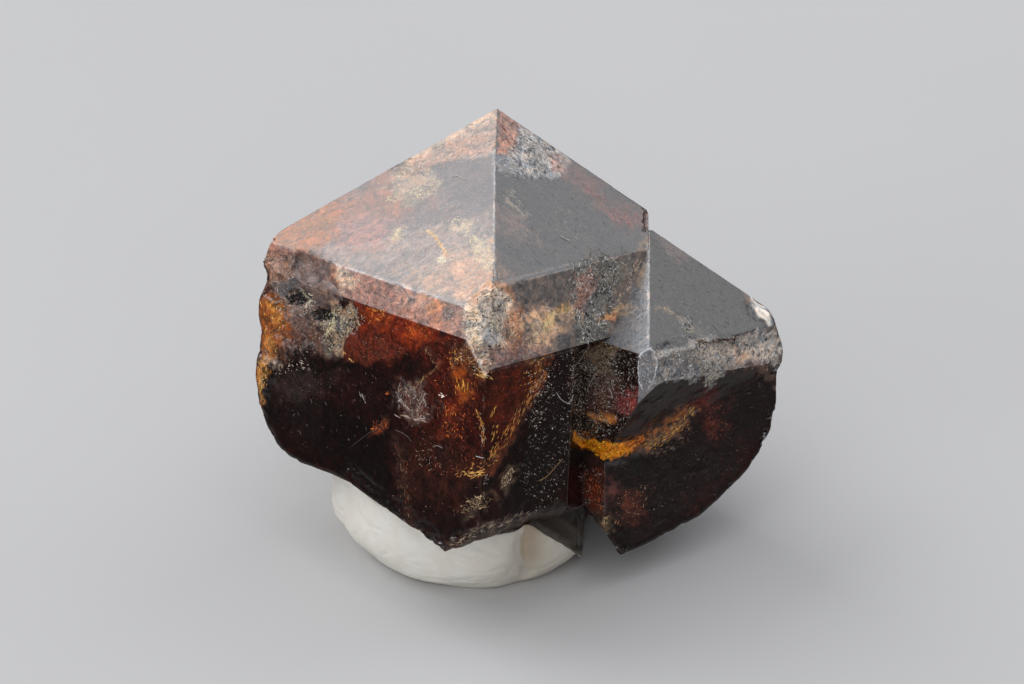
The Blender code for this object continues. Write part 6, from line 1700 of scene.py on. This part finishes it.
def build_putty():
    height, waist = 5.3, 1.9
    rows = []
    for j in range(UP_SIDE + 1):            # foot to shoulder
        t = j / UP_SIDE
        h = 4.3 * t ** 1.15
        if h < waist:
            w = 1.0 - 0.155 * (1.0 - h / waist) ** 2.3
        else:
            w = 1.0 - 0.075 * ((h - waist) / 2.4) ** 2
        rows.append((w, h))
    for j in range(1, OVER_TOP):            # shoulder to the middle of the top
        t = j / OVER_TOP
        rows.append(((1.0 - 0.075) * math.cos(t * math.pi / 2), 4.3 + (height - 4.3) * math.sin(t * math.pi / 2)))
    slope = Vector((0.77, -0.05, 1.0)).normalized()
    slope_at = slope.dot(Vector((2.60, -5.15, 0.50)))
    cut = Vector((1.60, 1.34, 2.14)).normalized()
    cut_at = cut.dot(Vector((0.20, -6.80, 3.60)))

    def ease(t):
        t = min(max(t, 0.0), 1.0)
        return t * t * (3 - 2 * t)

    verts = []
    for w, h in rows:
        for i in range(AROUND):
            a = 2 * math.pi * i / AROUND
            way = Vector((math.cos(a), math.sin(a), 0.0))
            p = PUTTY_AT + way * putty_rim(a) * w + Vector((0, 0, h))
            # thumbed dents and folds
            q = Vector((p.x, p.y, p.z * 1.15))
            low = noise.fractal(q * 0.42 + Vector((4.0, 1.0, 2.0)), 1.0, 2.0, 2)
            small = noise.fractal(q * 1.7 + Vector((1.0, 8.0, 3.0)), 0.9, 2.1, 4)
            fold = 1.0 - abs(noise.noise(Vector((p.x * 0.55 + 3.0, p.y * 0.55, p.z * 1.5 + 2.0)))) * 2.0
            fold = max(fold - 0.80, 0.0) / 0.20
            push = 0.16 * low + 0.030 * small - 0.07 * fold * fold
            # the crease between the two thumbed halves
            line = p.x - (0.20 + 0.10 * math.sin(p.z * 2.2) - 0.05 * (p.z - 1.0))
            near = math.exp(-(line / 0.19) ** 2) * (1.0 if math.sin(a) < -0.3 else 0.0)
            push -= 0.34 * near * min(1.0, max(0.0, (h - 0.15) / 0.5)) * (1.0 if h < 2.6 else max(0.0, 1.0 - (h - 2.6)))
            side = min(1.0, h / 0.35)
            p += way * push * side
            verts.append(p)
    top = PUTTY_AT + Vector((0, 0, height))
    foot = PUTTY_AT.copy()
    verts += [top, foot]
    # under the slope on the right, and pressed to the crystal's underside
    for k, p in enumerate(verts):
        limit = (slope_at - slope.x * p.x - slope.y * p.y) / slope.z
        inner = 6.0 * max(ease((p.y + 3.3) / 1.5), ease((0.20 - p.x) / 0.7))
        front = (cut_at - cut.x * p.x - cut.y * p.y) / cut.z
        limit = max(front, min(inner, limit)) + 0.08 * noise.noise(p * 0.9) + 0.03 * noise.noise(p * 2.6)
        if p.z > 0.0:
            p.z = max(soft_min(p.z, max(limit, 0.05), 0.3), 0.02)
        hit, _, _, _ = skin.ray_cast(Vector((p.x, p.y, -1.0)), Vector((0, 0, 1)))
        if hit is not None and p.z > 0.3:
            p.z = max(min(p.z, hit.z - 0.06), 0.02)
        if p.z > 0.3:                       # and clear of it between the corners
            for way in range(8):
                beside = Vector((p.x + 0.15 * math.cos(way * math.pi / 4), p.y + 0.15 * math.sin(way * math.pi / 4), -1.0))
                hit, _, _, _ = skin.ray_cast(beside, Vector((0, 0, 1)))
                if hit is not None:
                    p.z = max(min(p.z, hit.z - 0.03), 0.02)
        if p.z > 0.0:                       # no two rows in the very same place
            p.z += 0.0001 * (k // AROUND)
        verts[k] = p
    faces = []
    n = len(rows)
    for j in range(n - 1):
        for i in range(AROUND):
            k = (i + 1) % AROUND
            faces.append((j * AROUND + i, j * AROUND + k, (j + 1) * AROUND + k, (j + 1) * AROUND + i))
    last = (n - 1) * AROUND
    for i in range(AROUND):
        k = (i + 1) % AROUND
        faces.append((last + i, last + k, n * AROUND))
        faces.append((k, i, n * AROUND + 1))
    mesh = bpy.data.meshes.new("putty_lump")
    mesh.from_pydata([(v * MM)[:] for v in verts], [], faces)
    mesh.validate()
    mesh.shade_smooth()
    obj = bpy.data.objects.new("putty_lump", mesh)
    bpy.context.scene.collection.objects.link(obj)
    g = Graph("putty")
    at = g.vector("SCALE", g.node("ShaderNodeTexCoord", 3), 1000.0)
    cloud = g.noise(at, 0.7, 4.0, 0.55, 0.6)
    fine = g.noise(at, 6.0, 5.0, 0.6)
    tone = g.mix(g.ramp(cloud, 0.35, 0.68), (0.97, 0.95, 0.865), (0.92, 0.875, 0.78))
    part = g.tree.nodes.new("ShaderNodeSeparateXYZ")
    g.tree.links.new(at.node.outputs[0], part.inputs[0])
    # painted shade: the right half of the lump is darker, as the light comes from the left
    right_side_painted_shade = g.ramp(part.outputs[0], -2.6, 0.6)
    tone = g.mix(g.math("MULTIPLY", right_side_painted_shade, 0.5), tone, (0.52, 0.45, 0.35))
    # painted shade: brown to the right of the crease, deepest near the crystal
    bend = g.math("MULTIPLY", g.math("SINE", g.math("MULTIPLY", part.outputs[2], 2.2)), 0.10)
    past = g.math("ADD", g.math("SUBTRACT", part.outputs[0], bend), g.math("MULTIPLY", g.math("SUBTRACT", g.noise(at, 1.9, 3.0, 0.6), 0.5), 0.25))
    shade = g.math("MULTIPLY", g.ramp(past, 0.10, 0.28), g.math("SUBTRACT", 1.0, g.ramp(past, 0.45, 1.7)))
    shade = g.math("MULTIPLY", shade, g.ramp(part.outputs[2], 0.5, 2.0))
    tone = g.mix(g.math("MULTIPLY", shade, 0.72), tone, (0.42, 0.31, 0.19))
    # painted shade: the slope under the crystal is nearly black against it
    along_cut_normal = g.node("ShaderNodeVectorMath", 1, settings={"operation": "DOT_PRODUCT"}, i0=at, i1=cut[:])
    ragged = g.math("MULTIPLY", g.math("SUBTRACT", g.noise(at, 1.6, 4.0, 0.6), 0.5), 0.6)
    painted_shade_under_crystal = g.math("MULTIPLY", g.ramp(g.math("ADD", along_cut_normal, ragged), cut_at - 0.10, cut_at + 0.30), g.ramp(part.outputs[0], -0.4, 0.5))
    tone = g.mix(g.math("MULTIPLY", painted_shade_under_crystal, 0.85), tone, (0.060, 0.045, 0.034))
    specks = g.ramp(g.noise(at, 17.0, 3.0, 0.6), 0.66, 0.72)
    tone = g.mix(g.math("MULTIPLY", specks, 0.45), tone, (0.30, 0.25, 0.20))
    g.set(g.shader.inputs["Base Color"], tone)
    g.set(g.shader.inputs["Roughness"], g.ramp(cloud, 0.3, 0.7, False, (0.34, 0.50)))
    bump = g.node("ShaderNodeBump", Height=g.math("ADD", fine, g.math("MULTIPLY", cloud, 2.0)), Strength=0.5, Distance=0.00004)
    g.set(g.shader.inputs["Normal"], bump)
    g.shader.inputs["IOR"].default_value = 1.48
    g.shader.inputs["Metallic"].default_value = 0.0
    mesh.materials.append(g.material)
    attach(obj, "root")
    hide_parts("putty_base")
    print("putty_lump", len(mesh.polygons), "faces")


build_putty()

# ======================================================================================
# Floor, light and world
# ======================================================================================
def studio():
    bm = bmesh.new()
    bmesh.ops.create_grid(bm, x_segments=8, y_segments=8, size=0.9)
    floor_mesh = bpy.data.meshes.new("floor")
    bm.to_mesh(floor_mesh)
    bm.free()
    floor = bpy.data.objects.new("floor", floor_mesh)
    floor.location = (0, 0, cad_low.z - 0.00002)
    bpy.context.scene.collection.objects.link(floor)
    g = Graph("floor_paper")
    at = g.node("ShaderNodeTexCoord", 3)
    tone = g.noise(at, 9.0, 4.0, 0.5)
    g.set(g.shader.inputs["Base Color"], g.mix(g.ramp(tone, 0.3, 0.7), (0.56, 0.56, 0.57), (0.60, 0.60, 0.60)))
    g.shader.inputs["Roughness"].default_value = 0.9
    g.shader.inputs["Specular IOR Level"].default_value = 0.1
    floor_mesh.materials.append(g.material)
    floor.visible_glossy = False
    floor.visible_transmission = False

    def softbox(name, direction, distance, width, height, radiance, colour=(1, 1, 1)):
        data = bpy.data.lights.new(name, "AREA")
        data.shape = "RECTANGLE"
        data.size, data.size_y = width, height
        data.energy = radiance * math.pi * width * height
        data.color = colour
        obj = bpy.data.objects.new(name, data)
        d = Vector(direction).normalized()
        obj.location = Vector((0, 0, 0.009)) + d * distance
        obj.rotation_euler = (-d).to_track_quat("-Z", "Y").to_euler()
        bpy.context.scene.collection.objects.link(obj)
        return obj

    softbox("key_softbox", (-0.62, 0.44, 0.66), 0.55, 0.46, 0.46, 2.2)
    softbox("right_softbox", (0.64, 0.44, 0.62), 0.55, 0.36, 0.36, 1.0)
    softbox("front_softbox", (-0.25, -0.80, 0.75), 0.6, 0.40, 0.30, 0.9)
    softbox("left_softbox", (-0.84, -0.56, 0.20), 0.6, 0.36, 0.26, 1.75)
    softbox("top_softbox", (0.0, 0.15, 1.0), 0.6, 0.5, 0.5, 0.7)

    world_data = bpy.data.worlds.new("studio")
    bpy.context.scene.world = world_data
    world_data.use_nodes = True
    tree = world_data.node_tree
    tree.nodes.clear()
    out = tree.nodes.new("ShaderNodeOutputWorld")
    background = tree.nodes.new("ShaderNodeBackground")
    coord = tree.nodes.new("ShaderNodeTexCoord")
    part = tree.nodes.new("ShaderNodeSeparateXYZ")
    ramp = tree.nodes.new("ShaderNodeValToRGB")
    rise = tree.nodes.new("ShaderNodeMapRange")
    tree.links.new(coord.outputs["Generated"], part.inputs[0])
    tree.links.new(part.outputs["Z"], rise.inputs["Value"])
    rise.inputs["From Min"].default_value = -0.60
    rise.inputs["From Max"].default_value = 1.0
    tree.links.new(rise.outputs[0], ramp.inputs[0])
    stops = ramp.color_ramp
    stops.elements[0].position, stops.elements[0].color = 0.0, (0.15, 0.145, 0.145, 1)
    stops.elements[1].position, stops.elements[1].color = 1.0, (0.55, 0.56, 0.58, 1)
    for at_height, colour in ((0.075, (0.13, 0.125, 0.125)), (0.135, (0.050, 0.042, 0.042)), (0.22, (0.055, 0.045, 0.045)),
                              (0.391, (0.14, 0.135, 0.14)), (0.57, (0.42, 0.42, 0.44))):
        stops.elements.new(at_height).color = (*colour, 1)
    tree.links.new(ramp.outputs[0], background.inputs["Color"])
    background.inputs["Strength"].default_value = 1.0
    tree.links.new(background.outputs[0], out.inputs["Surface"])


studio()
bpy.context.scene.view_settings.view_transform = "Standard"
